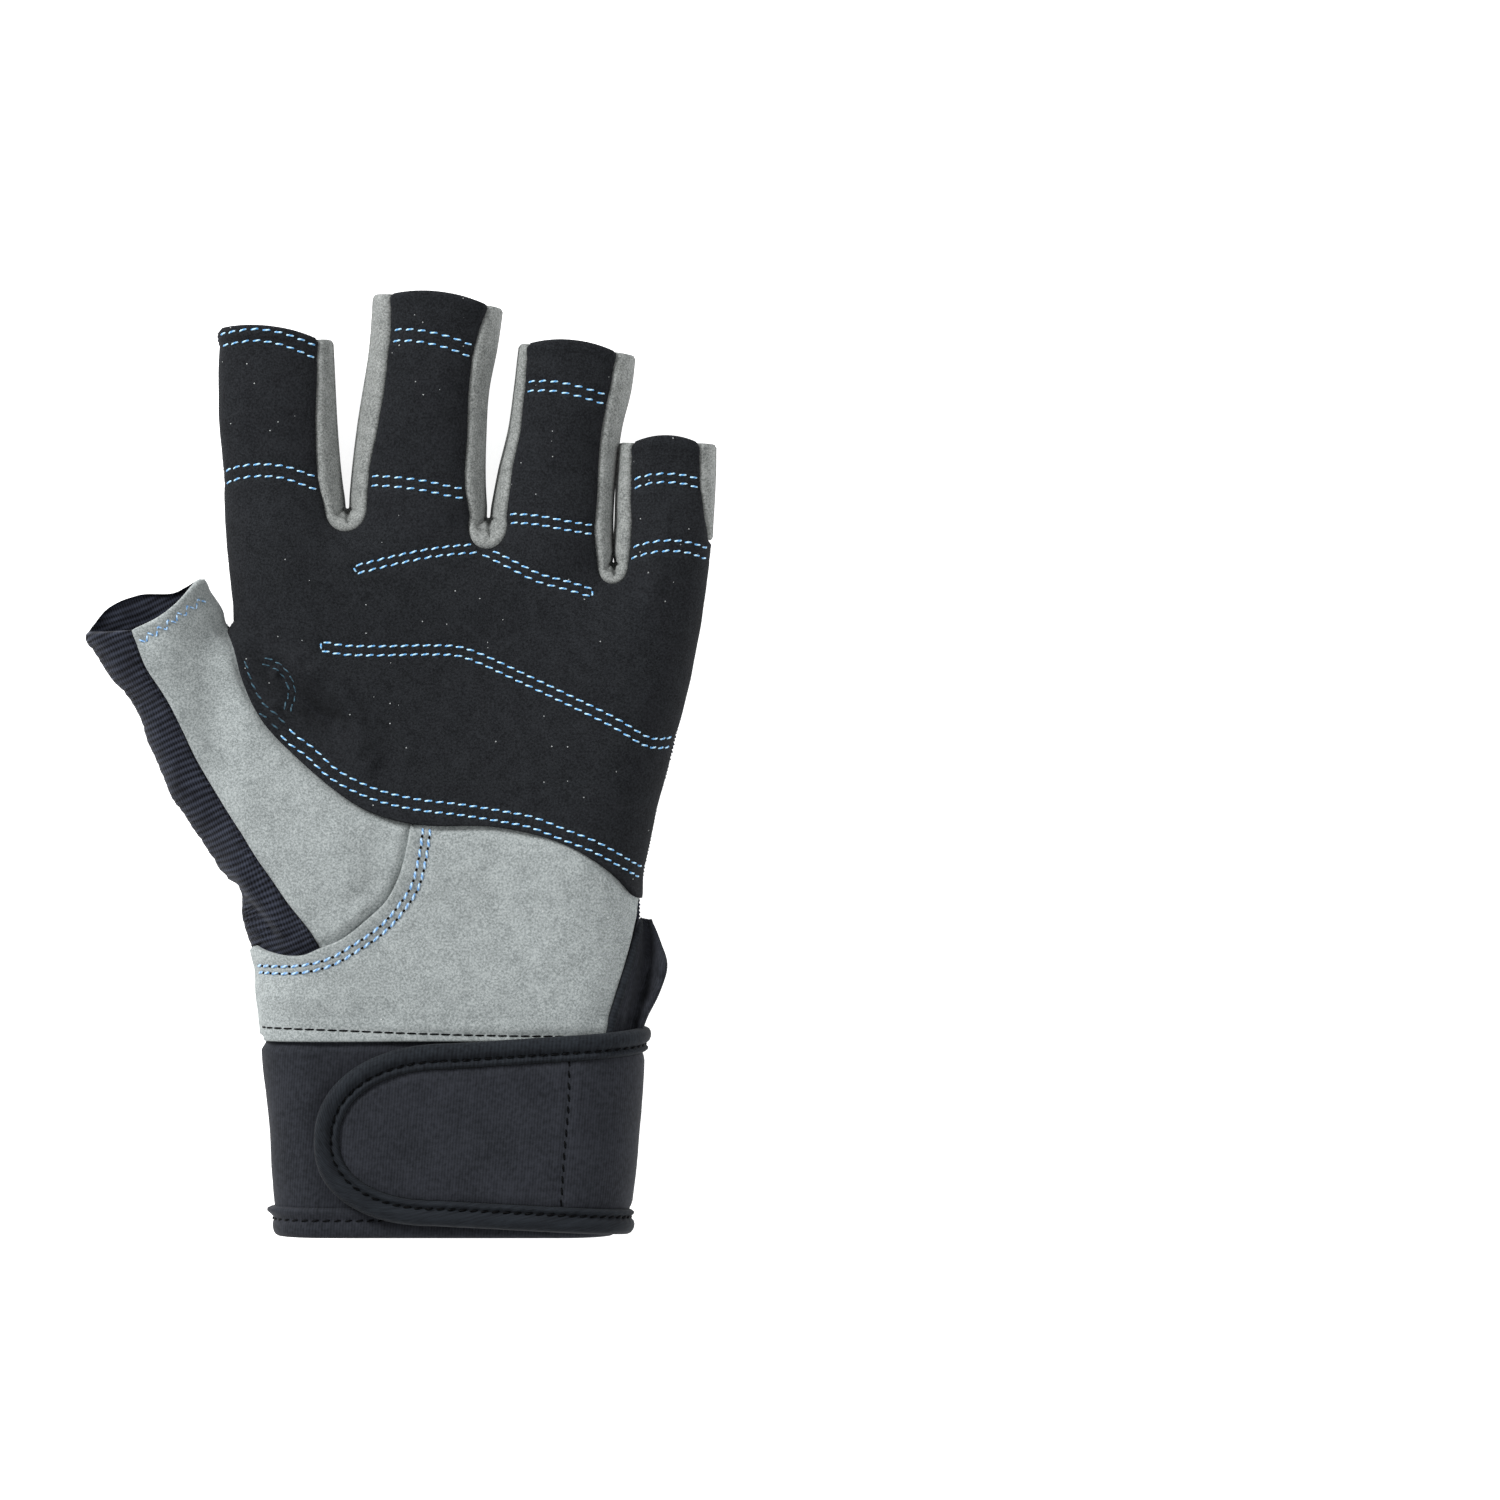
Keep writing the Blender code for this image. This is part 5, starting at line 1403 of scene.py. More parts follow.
def dress(piece: Object, node: str, material: Material) -> Object:
    """Gives a cloth piece its material, fastens it to the glove and hides its CAD node.

    Args:
        piece: The piece.
        node: The CAD node that it stands for.
        material: Its finish.

    Returns:
        The piece.
    """
    piece.data.materials.append(material)
    ride(piece)
    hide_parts(node)
    return piece


@dataclass
class Part:
    """A sub-assembly of the glove, built on its form and dressed in its finishes."""

    form: GloveForm
    finishes: Finishes


@dataclass
class PalmSide(Part):
    """The black suede palm with the fronts of the fingers, and the grey suede heel below it."""

    suede: float = 1.0 * MM
    palm_cut: Pair = (122 * MM, 134 * MM)
    heel_cut: Pair = (92 * MM, 50 * MM)
    folds: tuple = (
        Fold(((-34.5, 77.5), (-30.0, 72.5), (-25.5, 68.5), (-20.6, 65.7)), -2.5, 1.9),
        Fold(((-28.0, 79.0), (-21.5, 73.5), (-17.0, 65.0), (-15.5, 59.0)), 2.0, 2.6),
        Fold(((-36.0, 86.0), (-29.0, 80.5), (-25.0, 76.0)), -0.5, 3.0),
        Fold(((-13.0, 68.0), (-10.0, 61.0), (-10.5, 55.0)), -0.5, 2.6),
        Fold(((-14.0, 92.0), (-2.0, 90.0), (10.0, 91.0)), 0.45, 5.0),
        Fold(((14.0, 60.0), (26.0, 55.0), (38.0, 52.0)), 0.4, 6.0),
        Wrinkles(11, 0.45, 3.7),
        Wrinkles(4.2, 0.1, 9.1),
    )
    heel_folds: tuple = (
        Fold(((-37.0, 9.5), (-29.0, 8.0), (-20.0, 8.6)), 0.35, 2.6),
        Fold(((-6.0, 22.0), (2.0, 15.0), (6.0, 8.0)), 0.35, 4.0),
        Fold(((18.0, 34.0), (26.0, 26.0), (30.0, 14.0)), 0.4, 5.0),
        Wrinkles(9, 0.4, 5.2),
        Wrinkles(3.4, 0.08, 1.4),
    )

    def fingers(self, sheet: Sheet) -> Sheet:
        """Adds the fronts of the four fingers to the palm's border."""
        last = self.form.crotch_line[-1]
        for line in self.form.gaps.values():
            seam = self.form.shown(line)
            sheet.add(self.form.arch(last, seam[0]), Edge.HEMMED).add(seam, Edge.TURNED)
            last = seam[-1]
        strip = self.form.shown(self.form.little_strip())
        return sheet.add(self.form.arch(last, strip[0]), Edge.HEMMED).add(strip, Edge.TURNED)

    def palm_sheet(self) -> Sheet:
        """The palm's sheet."""
        form = self.form
        sheet = Sheet(form, Side.PALM, self.suede, list(self.folds), 0.85 * MM)
        sheet.add(form.crotch_line[form.crotch_low :], Edge.SIDE)
        self.fingers(sheet)
        low = form.palm_length + LITTLE_STRIP[-1][0] * FINGERS["little"].length
        sheet.add(form.stretch(form.hand_side, form.lower_end, low), Edge.SIDE)
        return sheet.add(form.lower_seam[::-1], Edge.LAPPED).close()

    def heel_sheet(self) -> Sheet:
        """The heel's sheet."""
        form = self.form
        start = form.nearest_row(form.lower_seam, form.base_seam[0])
        sheet = Sheet(form, Side.PALM, self.suede, list(self.heel_folds), 0.9 * MM)
        sheet.add(form.stretch(form.thumb_side, 0.0, form.rise), Edge.SIDE)
        sheet.add(form.base_seam[::-1], Edge.LAPPED).add(form.lower_seam[start:], Edge.TUCKED)
        sheet.add(form.heel_side, Edge.TURNED)
        wrist = np.array([form.heel_side[-1], form.at_height(form.thumb_side, 0.0)])
        return sheet.add(resample(wrist, FINE_STEP), Edge.LAPPED).close()

    def sewn(self, sheet: Sheet, rows: dict[str, StitchRow]) -> dict[ThreadColour, list]:
        """Sews rows on a sheet.

        Args:
            sheet: The closed sheet.
            rows: The rows.

        Returns:
            For each colour, the places and normals of the lines.
        """
        found: dict[ThreadColour, list[Array]] = {}
        for row in rows.values():
            found.setdefault(row.colour, []).extend(sheet.sew(row.lines()))
        return {colour: [sheet.place(line) for line in lines] for colour, lines in found.items()}

    def build(self) -> None:
        """Builds the palm, the heel and their threads."""
        fin, threads = self.finishes, self.finishes.threads
        sheet = self.palm_sheet()
        rows = self.sewn(sheet, PALM_ROWS)
        palm = thick_cloth("palm_suede", ClothMesh.of(sheet), self.suede)
        dress(palm, "palm_panel", fin.black_suede)
        sew("palm_stitches", rows[ThreadColour.BLUE], threads[ThreadColour.BLUE])
        # The crotch's rows are sunk into the cloth, and their darker blue thread is painted shade
        sew("crotch_stitches", rows[ThreadColour.DULL], threads[ThreadColour.DULL], Stitcher(rise=0.02 * MM))
        sheet = self.heel_sheet()
        rows = self.sewn(sheet, HEEL_ROWS)
        heel = thick_cloth("heel_suede", ClothMesh.of(sheet), self.suede)
        dress(heel, "heel_panel", fin.grey_suede)
        thick = Stitcher(radius=0.27 * MM)
        sew("thumb_base_stitches", rows[ThreadColour.PALE], threads[ThreadColour.PALE], thick)
        # Short black bits of thread in the gaps between the pale stitches stand for the needle holes:
        # painted shade
        needle = Stitcher(between=0.6 * MM, radius=0.26 * MM, rise=0.1 * MM, slant=0.0)
        sew("thumb_base_painted_hole_shade", rows[ThreadColour.PALE], threads[ThreadColour.BLACK], needle)
        tight = Stitcher(stitch=2.1 * MM, radius=0.19 * MM, rise=0.1 * MM, slant=0.03 * MM)
        sew("heel_foot_stitches", rows[ThreadColour.BLACK], threads[ThreadColour.BLACK], tight)


@dataclass
class Thumb(Part):
    """The thumb: a grey suede front, and ribbed knit folded round its outer side to the back."""

    suede: float = 1.0 * MM
    knit: float = 1.1 * MM
    ribs: Ribs = Ribs(1.3 * MM, 0.22 * MM, -0.39)
    front_cut: Pair = (40 * MM, 82 * MM)
    back_cut: Pair = (56 * MM, 92 * MM)
    folds: tuple = (
        Fold(((-52.0, 78.0), (-44.0, 66.0), (-37.0, 56.0)), -0.35, 3.0),
        Fold(((-24.0, 47.0), (-20.0, 38.0), (-18.5, 28.0)), 0.45, 3.6),
        Fold(((-12.0, 42.0), (-13.5, 34.0), (-16.0, 28.0)), -0.4, 2.6),
        Fold(((-22.0, 24.0), (-18.0, 25.5), (-13.0, 29.0)), 0.3, 1.8),
        Wrinkles(8, 0.4, 2.2),
        Wrinkles(3.2, 0.08, 7.7),
    )
    knit_folds: tuple = (
        Fold(((-45.5, 33.0), (-40.0, 27.0), (-34.5, 21.0)), -1.4, 1.5),
        Fold(((-42.5, 37.0), (-37.0, 30.0), (-31.0, 21.0)), 1.1, 1.9),
        Fold(((-66.0, 73.0), (-60.0, 70.0), (-57.0, 68.0)), -0.5, 2.0),
        Wrinkles(5.5, 0.4, 12.3),
        Wrinkles(14, 0.6, 4.4),
    )

    def front_sheet(self) -> Sheet:
        """The grey front's sheet."""
        form = self.form
        split = form.nearest_row(form.base_seam, form.thumb_seam[-1])
        end = form.nearest_row(form.lower_seam, form.base_seam[0])
        mouth = smooth_path([form.thumb_seam[0], *form.plans(THUMB_MOUTH_FRONT), form.crotch_line[0, :2]])
        sheet = Sheet(form, Side.PALM, self.suede, list(self.folds), 0.85 * MM)
        sheet.add(mouth, Edge.HEMMED).add(form.crotch_line[: form.crotch_low + 1], Edge.SIDE)
        sheet.add(form.lower_seam[: end + 1], Edge.TUCKED).add(form.base_seam[: split + 1], Edge.TUCKED)
        return sheet.add(form.thumb_seam[::-1], Edge.TURNED).close()

    def knit_sheets(self) -> tuple[Sheet, Sheet]:
        """The sheets of the ribbed knit on the palm side and on the back."""
        form, reliefs = self.form, [self.ribs, *self.knit_folds]
        split = form.nearest_row(form.base_seam, form.thumb_seam[-1])
        tip = form.thumb_side[-1]
        outer = form.stretch(form.thumb_side, form.rise, tip[1])
        front = Sheet(form, Side.PALM, self.knit, reliefs, 0.36 * MM)
        mouth = resample(np.array([tip, form.thumb_seam[0]]), FINE_STEP)
        front.add(outer, Edge.FOLD).add(mouth, Edge.HEMMED)
        front.add(form.thumb_seam, Edge.TURNED).add(form.base_seam[split:], Edge.TUCKED).close()
        behind = smooth_path([tip, *form.plans(THUMB_MOUTH_BACK), form.crotch_line[0, :2]])
        back = Sheet(form, Side.BACK, self.knit, reliefs, 0.36 * MM)
        back.add(outer, Edge.FOLD).add(behind, Edge.HEMMED)
        back.add(form.crotch_line[: form.crotch_low + 1], Edge.SIDE).add(form.back_seam, Edge.TURNED).close()
        for sheet in (front, back):
            sheet.aspect, sheet.turn = 4.0, self.ribs.turn
        return front, back

    def build(self) -> None:
        """Builds the thumb's two cloths and its thread."""
        fin = self.finishes
        sheet = self.front_sheet()
        lines = [line for row in THUMB_ROWS.values() for line in sheet.sew(row.lines())]
        front = thick_cloth("thumb_suede", ClothMesh.of(sheet), self.suede)
        dress(front, "thumb_front", fin.grey_suede)
        stitcher = Stitcher(stitch=1.5 * MM, pitch=1.75 * MM, slant=0.0)
        lines = [sheet.place(line) for line in lines]
        sew("thumb_tip_stitches", lines, fin.threads[ThreadColour.PALE], stitcher)
        cloth = ClothMesh.joined([ClothMesh.of(sheet) for sheet in self.knit_sheets()])
        back = thick_cloth("thumb_knit", cloth, self.knit)
        dress(back, "thumb_back", fin.knit)


@dataclass
class HandBack(Part):
    """The ribbed knit back of the hand and of the fingers."""

    knit: float = 1.1 * MM
    ribs: Ribs = Ribs(1.3 * MM, 0.18 * MM, 0.0)
    cut: Pair = (124 * MM, 160 * MM)
    folds: tuple = (Wrinkles(13, 0.5, 21.0), Wrinkles(5, 0.18, 6.1))

    def sheet(self) -> Sheet:
        """The back's sheet."""
        form = self.form
        strip = form.little_strip()
        inset = form.strip_back * strip[:, 2:] / strip[0, 2]
        made = Sheet(form, Side.BACK, self.knit, [self.ribs, *self.folds], 0.37 * MM)
        made.aspect = 5.5
        made.add(form.crotch_line[form.crotch_low :], Edge.SIDE)
        last = form.crotch_line[-1]
        for line in form.gaps.values():
            seam = line[:, :2] + right_normals(line) * form.strip_back
            made.add(form.arch(last, seam[0]), Edge.HEMMED).add(seam, Edge.TURNED)
            last = seam[-1]
        seam = strip[:, :2] + right_normals(strip) * inset
        made.add(form.arch(last, seam[0]), Edge.HEMMED).add(seam, Edge.TURNED)
        low = form.palm_length + LITTLE_STRIP[-1][0] * FINGERS["little"].length
        made.add(form.stretch(form.hand_side, 0.0, low), Edge.SIDE)
        wrist = np.array([form.at_height(form.hand_side, 0.0), form.at_height(form.thumb_side, 0.0)])
        made.add(resample(wrist, FINE_STEP), Edge.LAPPED)
        made.add(form.stretch(form.thumb_side, 0.0, form.rise), Edge.SIDE)
        return made.add(form.back_seam[::-1], Edge.TURNED).close()

    def build(self) -> None:
        """Builds the back."""
        back = thick_cloth("back_knit", ClothMesh.of(self.sheet()), self.knit)
        dress(back, "back_panel", self.finishes.knit)


@dataclass
class FingerStrips(Part):
    """The grey suede strips round the gaps between the fingers, and down the little finger's outer side."""

    suede: float = 1.0 * MM
    columns: int = 42
    crest: float = 0.4 * MM
    pucker: float = 1.0 * MM
    # The creases at the bottom of a gap. Columns: the direction they run in, in radians from straight down,
    # width, share of the pucker's depth, and the shares of the shown width between which they run out.
    creases: tuple[tuple[float, float, float, float, float], ...] = (
        (0.14, 0.42 * MM, 1.0, 0.55, 0.95), (-0.85, 0.32 * MM, 0.55, 0.35, 0.75),
        (1.0, 0.3 * MM, 0.45, 0.3, 0.7),
    )
    # The fold across them: share of the shown width, its sway, its width and its share of the pucker's depth
    bend: tuple[float, float, float, float] = (0.5, 0.1, 0.4 * MM, 0.75)
    # How far each pair of walls swells into its gap
    swell: tuple[tuple[str, float], ...] = (
        ("strip_index_middle", 0.15 * MM), ("strip_middle_ring", 0.25 * MM), ("strip_ring_little", 0.85 * MM)
    )
    # The low waves along the palm's seam: their height, their size and how far they reach
    waves: tuple[float, float, float] = (0.24 * MM, 3.5 * MM, 4 * MM)
    strip_width: float = 20 * MM
    side_width: float = 19 * MM

    def gathers(self, name: str, line: Array, angles: Array) -> Array:
        """How deep the cloth is creased where it turns round the bottom of a gap.

        Args:
            name: The piece's name.
            line: The outline that it follows, with the share of it that shows.
            angles: The angle up the rounded side, for each point of the outline and each column.

        Returns:
            The depth at each of them.
        """
        inward = right_normals(line)
        fan = np.arctan2(inward[:, 0], -inward[:, 1])[:, None]
        room = self.form.round_width(line[:, :2])[:, None] * (1 - np.cos(angles))
        shown = np.maximum(line[:, 2:] * self.form.strip_show, MM)
        made = np.zeros_like(room)
        for lean, width, depth, low, high in self.creases:
            beside = (fan - lean) * (room + self.form.web_radius)
            made += depth * bell(beside, width) * (1 - ramp(room / shown, (low, high)))
        middle, sway, width, depth = self.bend
        above = room / shown - middle - sway * np.sin(3.0 * fan + len(name))
        made += depth * bell(above * shown, width) * bell(fan + 0.25, 0.95)
        return self.pucker * made

    def strip(self, name: str, line: Array, back_share: Array | float) -> Object:
        """Makes one strip from the palm's seam to the back's seam.

        Args:
            name: The piece's name.
            line: The outline that it follows, with the share of it that shows.
            back_share: How far it reaches on the back, as a share of its full reach there.

        Returns:
            The piece.
        """
        form = self.form
        outline, inward = line[:, :2], right_normals(line)
        shown, behind = line[:, 2] * form.strip_show, form.strip_back * back_share
        front, back = (np.arccos(1 - np.maximum(part, 0.01 * MM) / form.round_width(outline))
                       for part in (shown, behind))
        shares = np.linspace(-1, 1, self.columns + 1)
        angles = np.abs(shares) * np.where(shares > 0, front[:, None], back[:, None])
        made = [form.at_angle(outline, inward, angles[:, k], 1 if share >= 0 else -1)
                for k, share in enumerate(shares)]
        places, normals = (np.stack(part, axis=1) for part in zip(*made))
        steps = np.linalg.norm(np.diff(places, axis=1), axis=2)
        from_back = np.concatenate([np.zeros((len(line), 1)), np.cumsum(steps, axis=1)], axis=1)
        to_front = from_back[:, -1:] - from_back
        along = path_lengths(outline)
        to_end = np.broadcast_to(np.minimum(along, along[-1] - along)[:, None], to_front.shape)
        relief = rounded_drop(to_front, 0.7 * MM, 0.8 * MM) + rounded_drop(from_back, 0.8 * MM, 1.2 * MM)
        relief += self.crest * bell(to_front - 1.9 * MM, 1.3 * MM)
        relief += rounded_drop(to_end, 0.5 * MM, 0.6 * MM)
        relief -= self.gathers(name, line, angles) * (shares > 0)
        height, size, reach = self.waves
        wave = noise_at(np.column_stack([along, 0 * along]), size, len(name) * 1.7)[:, None]
        relief += height * wave * bell(to_front, reach)
        up_wall = 0.3 + 0.7 * ramp(np.abs(along - along[outline[:, 1].argmin()]), (0.4 * MM, 3 * MM))
        relief += dict(self.swell).get(name, 0.0) * bell(angles, 0.75) * up_wall[:, None]
        cloth = np.stack([np.broadcast_to(along[:, None], from_back.shape), from_back], axis=2)
        places = places + normals * relief[..., None]
        return thick_cloth(name, ClothMesh.grid(places, normals, cloth), self.suede)

    def build(self) -> None:
        """Builds the four strips."""
        side = self.form.little_strip()
        strips = [("strip_" + name, "fourchette_" + name, line, 1.0, self.strip_width, 0.9)
                  for name, line in self.form.gaps.items()]
        strips.append(("strip_little_side", "little_side_strip", side, side[:, 2] / side[0, 2],
                       self.side_width, 0.8))
        for name, node, line, back_share, width, cut in strips:
            piece = self.strip(name, line, back_share)
            # The strips take the darker copy of the grey suede, which is painted shade
            dress(piece, node, self.finishes.shaded_strip_suede)


class WristWrap:
    """Places cloth round the wrist: a distance from its outer side, a height and a distance off the form."""

    def __init__(self, form: GloveForm, reference: float = 4.0 * MM) -> None:
        """Measures the wrist's sections.

        Args:
            form: The glove's form.
            reference: How far off the form the distance round the wrist is measured.
        """
        self.ys = np.arange(-form.cuff_length, 6 * MM, 1.0 * MM)
        self.reaches = np.arange(-62 * MM, 92 * MM, 0.5 * MM)
        self.places, self.normals = [], []
        for y in self.ys:
            places, normals = (np.vstack([ring, ring[:1]]) for ring in form.wrist_section(y))
            total = path_lengths(places + normals * reference)
            at = self.reaches % total[-1]
            self.places.append(columns_at(places, total, at))
            self.normals.append(columns_at(normals, total, at))
        self.places, self.normals = np.array(self.places), np.array(self.normals)

    def place(self, reach: Array, y: Array, proud: Array | float) -> tuple:
        """Places and normals round the wrist.

        Args:
            reach: Distances from the outer side, over the palm side where positive.
            y: Heights in plan.
            proud: Distances off the form.

        Returns:
            The places and the unit normals.
        """
        row = np.clip((y - self.ys[0]) / (self.ys[1] - self.ys[0]), 0, len(self.ys) - 1.001)
        col = np.clip((reach - self.reaches[0]) / (self.reaches[1] - self.reaches[0]), 0,
                      len(self.reaches) - 1.001)
        r, c = row.astype(int), col.astype(int)
        fr, fc = (row - r)[..., None], (col - c)[..., None]
        found = []
        for table in (self.places, self.normals):
            low = table[r, c] * (1 - fc) + table[r, c + 1] * fc
            high = table[r + 1, c] * (1 - fc) + table[r + 1, c + 1] * fc
            found.append(low * (1 - fr) + high * fr)
        place, normal = found[0], normalised(found[1])
        return place + normal * np.asarray(proud)[..., None], normal

    def reach_of(self, x: float, y: float, proud: float) -> float:
        """The distance round the wrist of a point seen from above."""
        ahead = self.reaches[self.reaches > 4 * MM]
        places = self.place(ahead, np.full(len(ahead), y), proud)[0]
        return float(np.interp(-x, -places[:, 0], ahead))


@dataclass
class Cuff(Part):
    """The neoprene cuff and its turned hem."""

    neoprene: float = 2.2 * MM
    cuff_cut: Pair = (36 * MM, 180 * MM)
    hem_cut: Pair = (10.5 * MM, 180 * MM)
    hem_top: float = -36 * MM
    stitch_height: float = -38.2 * MM
    # The hem's section. Columns: height in plan, distance off the form, in mm.
    hem_profile: tuple[Pair, ...] = (
        (-35.55, -0.9), (-35.5, -0.1), (-35.62, 0.55), (-36.0, 0.98), (-36.6, 1.08), (-37.3, 0.92),
        (-37.9, 0.62), (-38.2, 0.55), (-38.5, 0.62), (-39.1, 0.86), (-40.0, 0.95), (-40.9, 0.86),
        (-41.5, 0.55), (-41.85, 0.0), (-41.95, -0.7), (-41.8, -1.5), (-41.3, -2.1), (-40.0, -2.4),
        (-38.0, -2.4), (-36.0, -2.3),
    )
    # The ear at each side of the hem: how far it stands out, its height in plan and its width
    ear: tuple[float, float, float] = (0.9 * MM, -36.3 * MM, 0.7 * MM)
    # The top of the cuff sinks under the heel: how deep, from which height, and over which width
    tuck: tuple[float, float, float] = (1.15 * MM, -2.8 * MM, 2.2 * MM)

    def cuff(self) -> Object:
        """The cuff's band, tucked under the heel at its top."""
        heights = [*np.arange(self.hem_top, -3.2 * MM, 1.3 * MM), *(np.arange(-3.2, 1.3, 0.4) * MM)]
        rings = [self.form.wrist_section(y) for y in heights]
        places, normals = (np.stack([ring[k] for ring in rings]) for k in (0, 1))
        around = np.stack([path_lengths(ring) for ring in places])
        flat = np.column_stack([around.reshape(-1), np.repeat(heights, places.shape[1])])
        relief = 0.32 * MM * noise_at(flat, 12 * MM, 8.8) + 0.1 * MM * noise_at(flat, 4 * MM, 3.3)
        relief = relief * (1 - bell(around.reshape(-1), 8 * MM))
        depth, start, width = self.tuck
        relief -= depth * ease((flat[:, 1] - start) / width)
        points = places.reshape(-1, 3) + normals.reshape(-1, 3) * relief[:, None]
        faces = [face[::-1] for face in grid_faces(*places.shape[:2], wrap=True)]
        cloth = ClothMesh(points, normals.reshape(-1, 3), faces, flat)
        return thick_cloth("cuff_neoprene", cloth, self.neoprene)

    def hem(self) -> Object:
        """The hem: one closed section swept round the wrist, standing out in an ear at each side."""
        rows, cloth = [], []
        for y, proud in np.array(self.hem_profile) * MM:
            places, normals = self.form.wrist_section(max(y, -self.form.cuff_length))
            size, middle, width = self.ear
            out = proud + size * np.abs(normals[:, 0]) ** 3 * bell(y - middle, width) * (proud > 0)
            around = path_lengths(places)
            out = out + 0.16 * MM * noise_at(np.column_stack([around, 0 * around + y]), 5 * MM, 2.6)
            rows.append(places + normals * out[:, None])
            cloth.append(np.column_stack([around, np.full(len(around), y + proud)]))
        quads = grid_faces(len(rows), len(rows[0]), wrap=True, close=True)
        return new_object("cuff_hem_fold", np.vstack(rows), quads, np.vstack(cloth))

    def build(self) -> None:
        """Builds the cuff, its hem and the hem's thread."""
        fin = self.finishes
        dress(self.cuff(), "cuff", fin.neoprene)
        dress(self.hem(), "cuff_hem", fin.neoprene)
        rings = self.form.wrist_section(self.stitch_height)
        places, normals = (np.vstack([ring, ring[:1]]) for ring in rings)
        sew("hem_stitches", [(places + normals * 0.5 * MM, normals)], fin.threads[ThreadColour.BLACK])


@dataclass
class Strap(Part):
    """The closing strap: a neoprene panel with a rounded end, and a knitted binding round its edge."""

    wrap: WristWrap
    reach: float = 76 * MM
    back: float = 38 * MM
    rounding: float = 27 * MM
    squareness: float = 2.2
    base: float = 1.2 * MM
    thickness: float = 2.6 * MM
    cloth: float = 2.3 * MM
    panel_cut: Pair = (33 * MM, 108 * MM)
    binding_cut: Pair = (10 * MM, 245 * MM)
    binding_width: float = 5.4 * MM
    top: Pair = (0.057, -0.019)
    foot: Pair = (-0.993, -0.933)
    # The binding's section. Columns: distance in from the strap's edge, height over the strap's back, in mm.
    binding_profile: tuple[Pair, ...] = (
        (0.3, 0.25), (0.06, 0.8), (0.0, 1.5), (0.1, 2.2), (0.42, 2.85), (0.95, 3.25), (1.6, 3.42),
        (2.3, 3.4), (2.9, 3.15), (3.35, 2.6), (3.7, 2.3), (4.05, 2.6), (4.4, 3.02), (4.8, 3.05),
        (5.15, 2.68), (5.38, 2.2), (5.36, 1.0), (5.2, 0.2), (2.6, 0.05),
    )
    stitch_inset: float = 3.7 * MM
    # Grooves in the panel, beside the binding and along the cross line: depth and width
    edge_groove: Pair = (0.55 * MM, 0.9 * MM)
    cross_groove: Pair = (0.42 * MM, 0.7 * MM)
    # Each stitch pulls the binding down: how far, and over which width
    pull: Pair = (0.25 * MM, 1.1 * MM)
    cross: tuple[Pair, ...] = ((27.8, -3.8), (27.6, -13.4), (26.7, -24.0), (26.0, -35.4))

    def edge(self, inset: float) -> Array:
        """The strap's edge over the palm side and back again. Columns: distance round the wrist, height."""
        start, length = self.reach - self.rounding, self.form.cuff_length
        reach = np.linspace(-self.back, start, 124)
        top = np.interp(reach, (0.0, start), self.top) * length - inset
        foot = np.interp(reach, (0.0, start), self.foot) * length + inset
        middle, half = (top[-1] + foot[-1]) / 2, (top[-1] - foot[-1]) / 2
        angles = np.linspace(0, math.pi, 63)[1:-1]
        power = 2 / self.squareness
        out = start + (self.rounding - inset) * np.sin(angles) ** power
        up = middle + half * np.sign(np.cos(angles)) * np.abs(np.cos(angles)) ** power
        return np.vstack([np.column_stack([reach, top]), np.column_stack([out, up]),
                          np.column_stack([reach, foot])[::-1]])

    def cross_line(self) -> Array:
        """The stitched line across the strap. Columns: distance round the wrist, height."""
        proud = self.base + self.thickness
        rows = [(self.wrap.reach_of(x * MM, y * MM, proud), y * MM) for x, y in self.cross]
        return smooth_path(rows, 0.5 * MM)

    def panel_height(self, flat: Array) -> Array:
        """The height of the panel's face over the form."""
        near = distance_to(flat, self.edge(self.binding_width))
        height = self.base + self.thickness + 0.25 * MM * ease(near / (7 * MM))
        cross = distance_to(flat, self.cross_line())
        for (depth, width), distance in ((self.edge_groove, near), (self.cross_groove, cross)):
            height = height - depth * bell(distance, width)
        return height + 0.14 * MM * noise_at(flat, 9 * MM, 4.9) + 0.04 * MM * noise_at(flat, 2.5 * MM, 1.2)

    def panel(self) -> Object:
        """The strap's panel."""
        edge = self.edge(self.binding_width + 0.05 * MM)
        half = len(edge) // 2
        top, foot = edge[:half], edge[::-1][:half]
        rows = [foot + (top - foot) * share for share in np.linspace(0, 1, 40)]
        flat = np.vstack([*rows, edge[half : half + 1]])
        places, normals = self.wrap.place(flat[:, 0], flat[:, 1], self.panel_height(flat))
        faces = [face[::-1] for face in grid_faces(len(rows), half)]
        ends = np.arange(1, len(rows) + 1) * half - 1
        faces += [[int(a), int(b), len(flat) - 1] for a, b in zip(ends, ends[1:])]
        return thick_cloth("strap_neoprene", ClothMesh(places, normals, faces, flat), self.cloth)

    def binding(self) -> Object:
        """The binding: its section swept along the strap's edge, closed at both ends."""
        rows, cloth = [], []
        for inset, height in np.array(self.binding_profile) * MM:
            edge = self.edge(inset)
            along = path_lengths(edge)
            wave = 0.12 * MM * noise_at(np.column_stack([along, 0 * along]), 4 * MM, 6.6) * (height > MM)
            # The tape swells between two stitches
            depth, width = self.pull
            near = bell(inset - self.stitch_inset, width) * (height > MM)
            wave -= depth * near * np.cos(2 * math.pi * (along - along[-1] / 2) / Stitcher.pitch)
            rows.append(self.wrap.place(edge[:, 0], edge[:, 1], self.base + height + wave)[0])
            cloth.append(np.column_stack([along, np.full(len(along), inset + height)]))
        count, columns = len(rows), len(rows[0])
        faces = grid_faces(count, columns, close=True)
        faces.append([r * columns for r in range(count)])
        faces.append([r * columns + columns - 1 for r in reversed(range(count))])
        return new_object("strap_binding_tape", np.vstack(rows), faces, np.vstack(cloth))

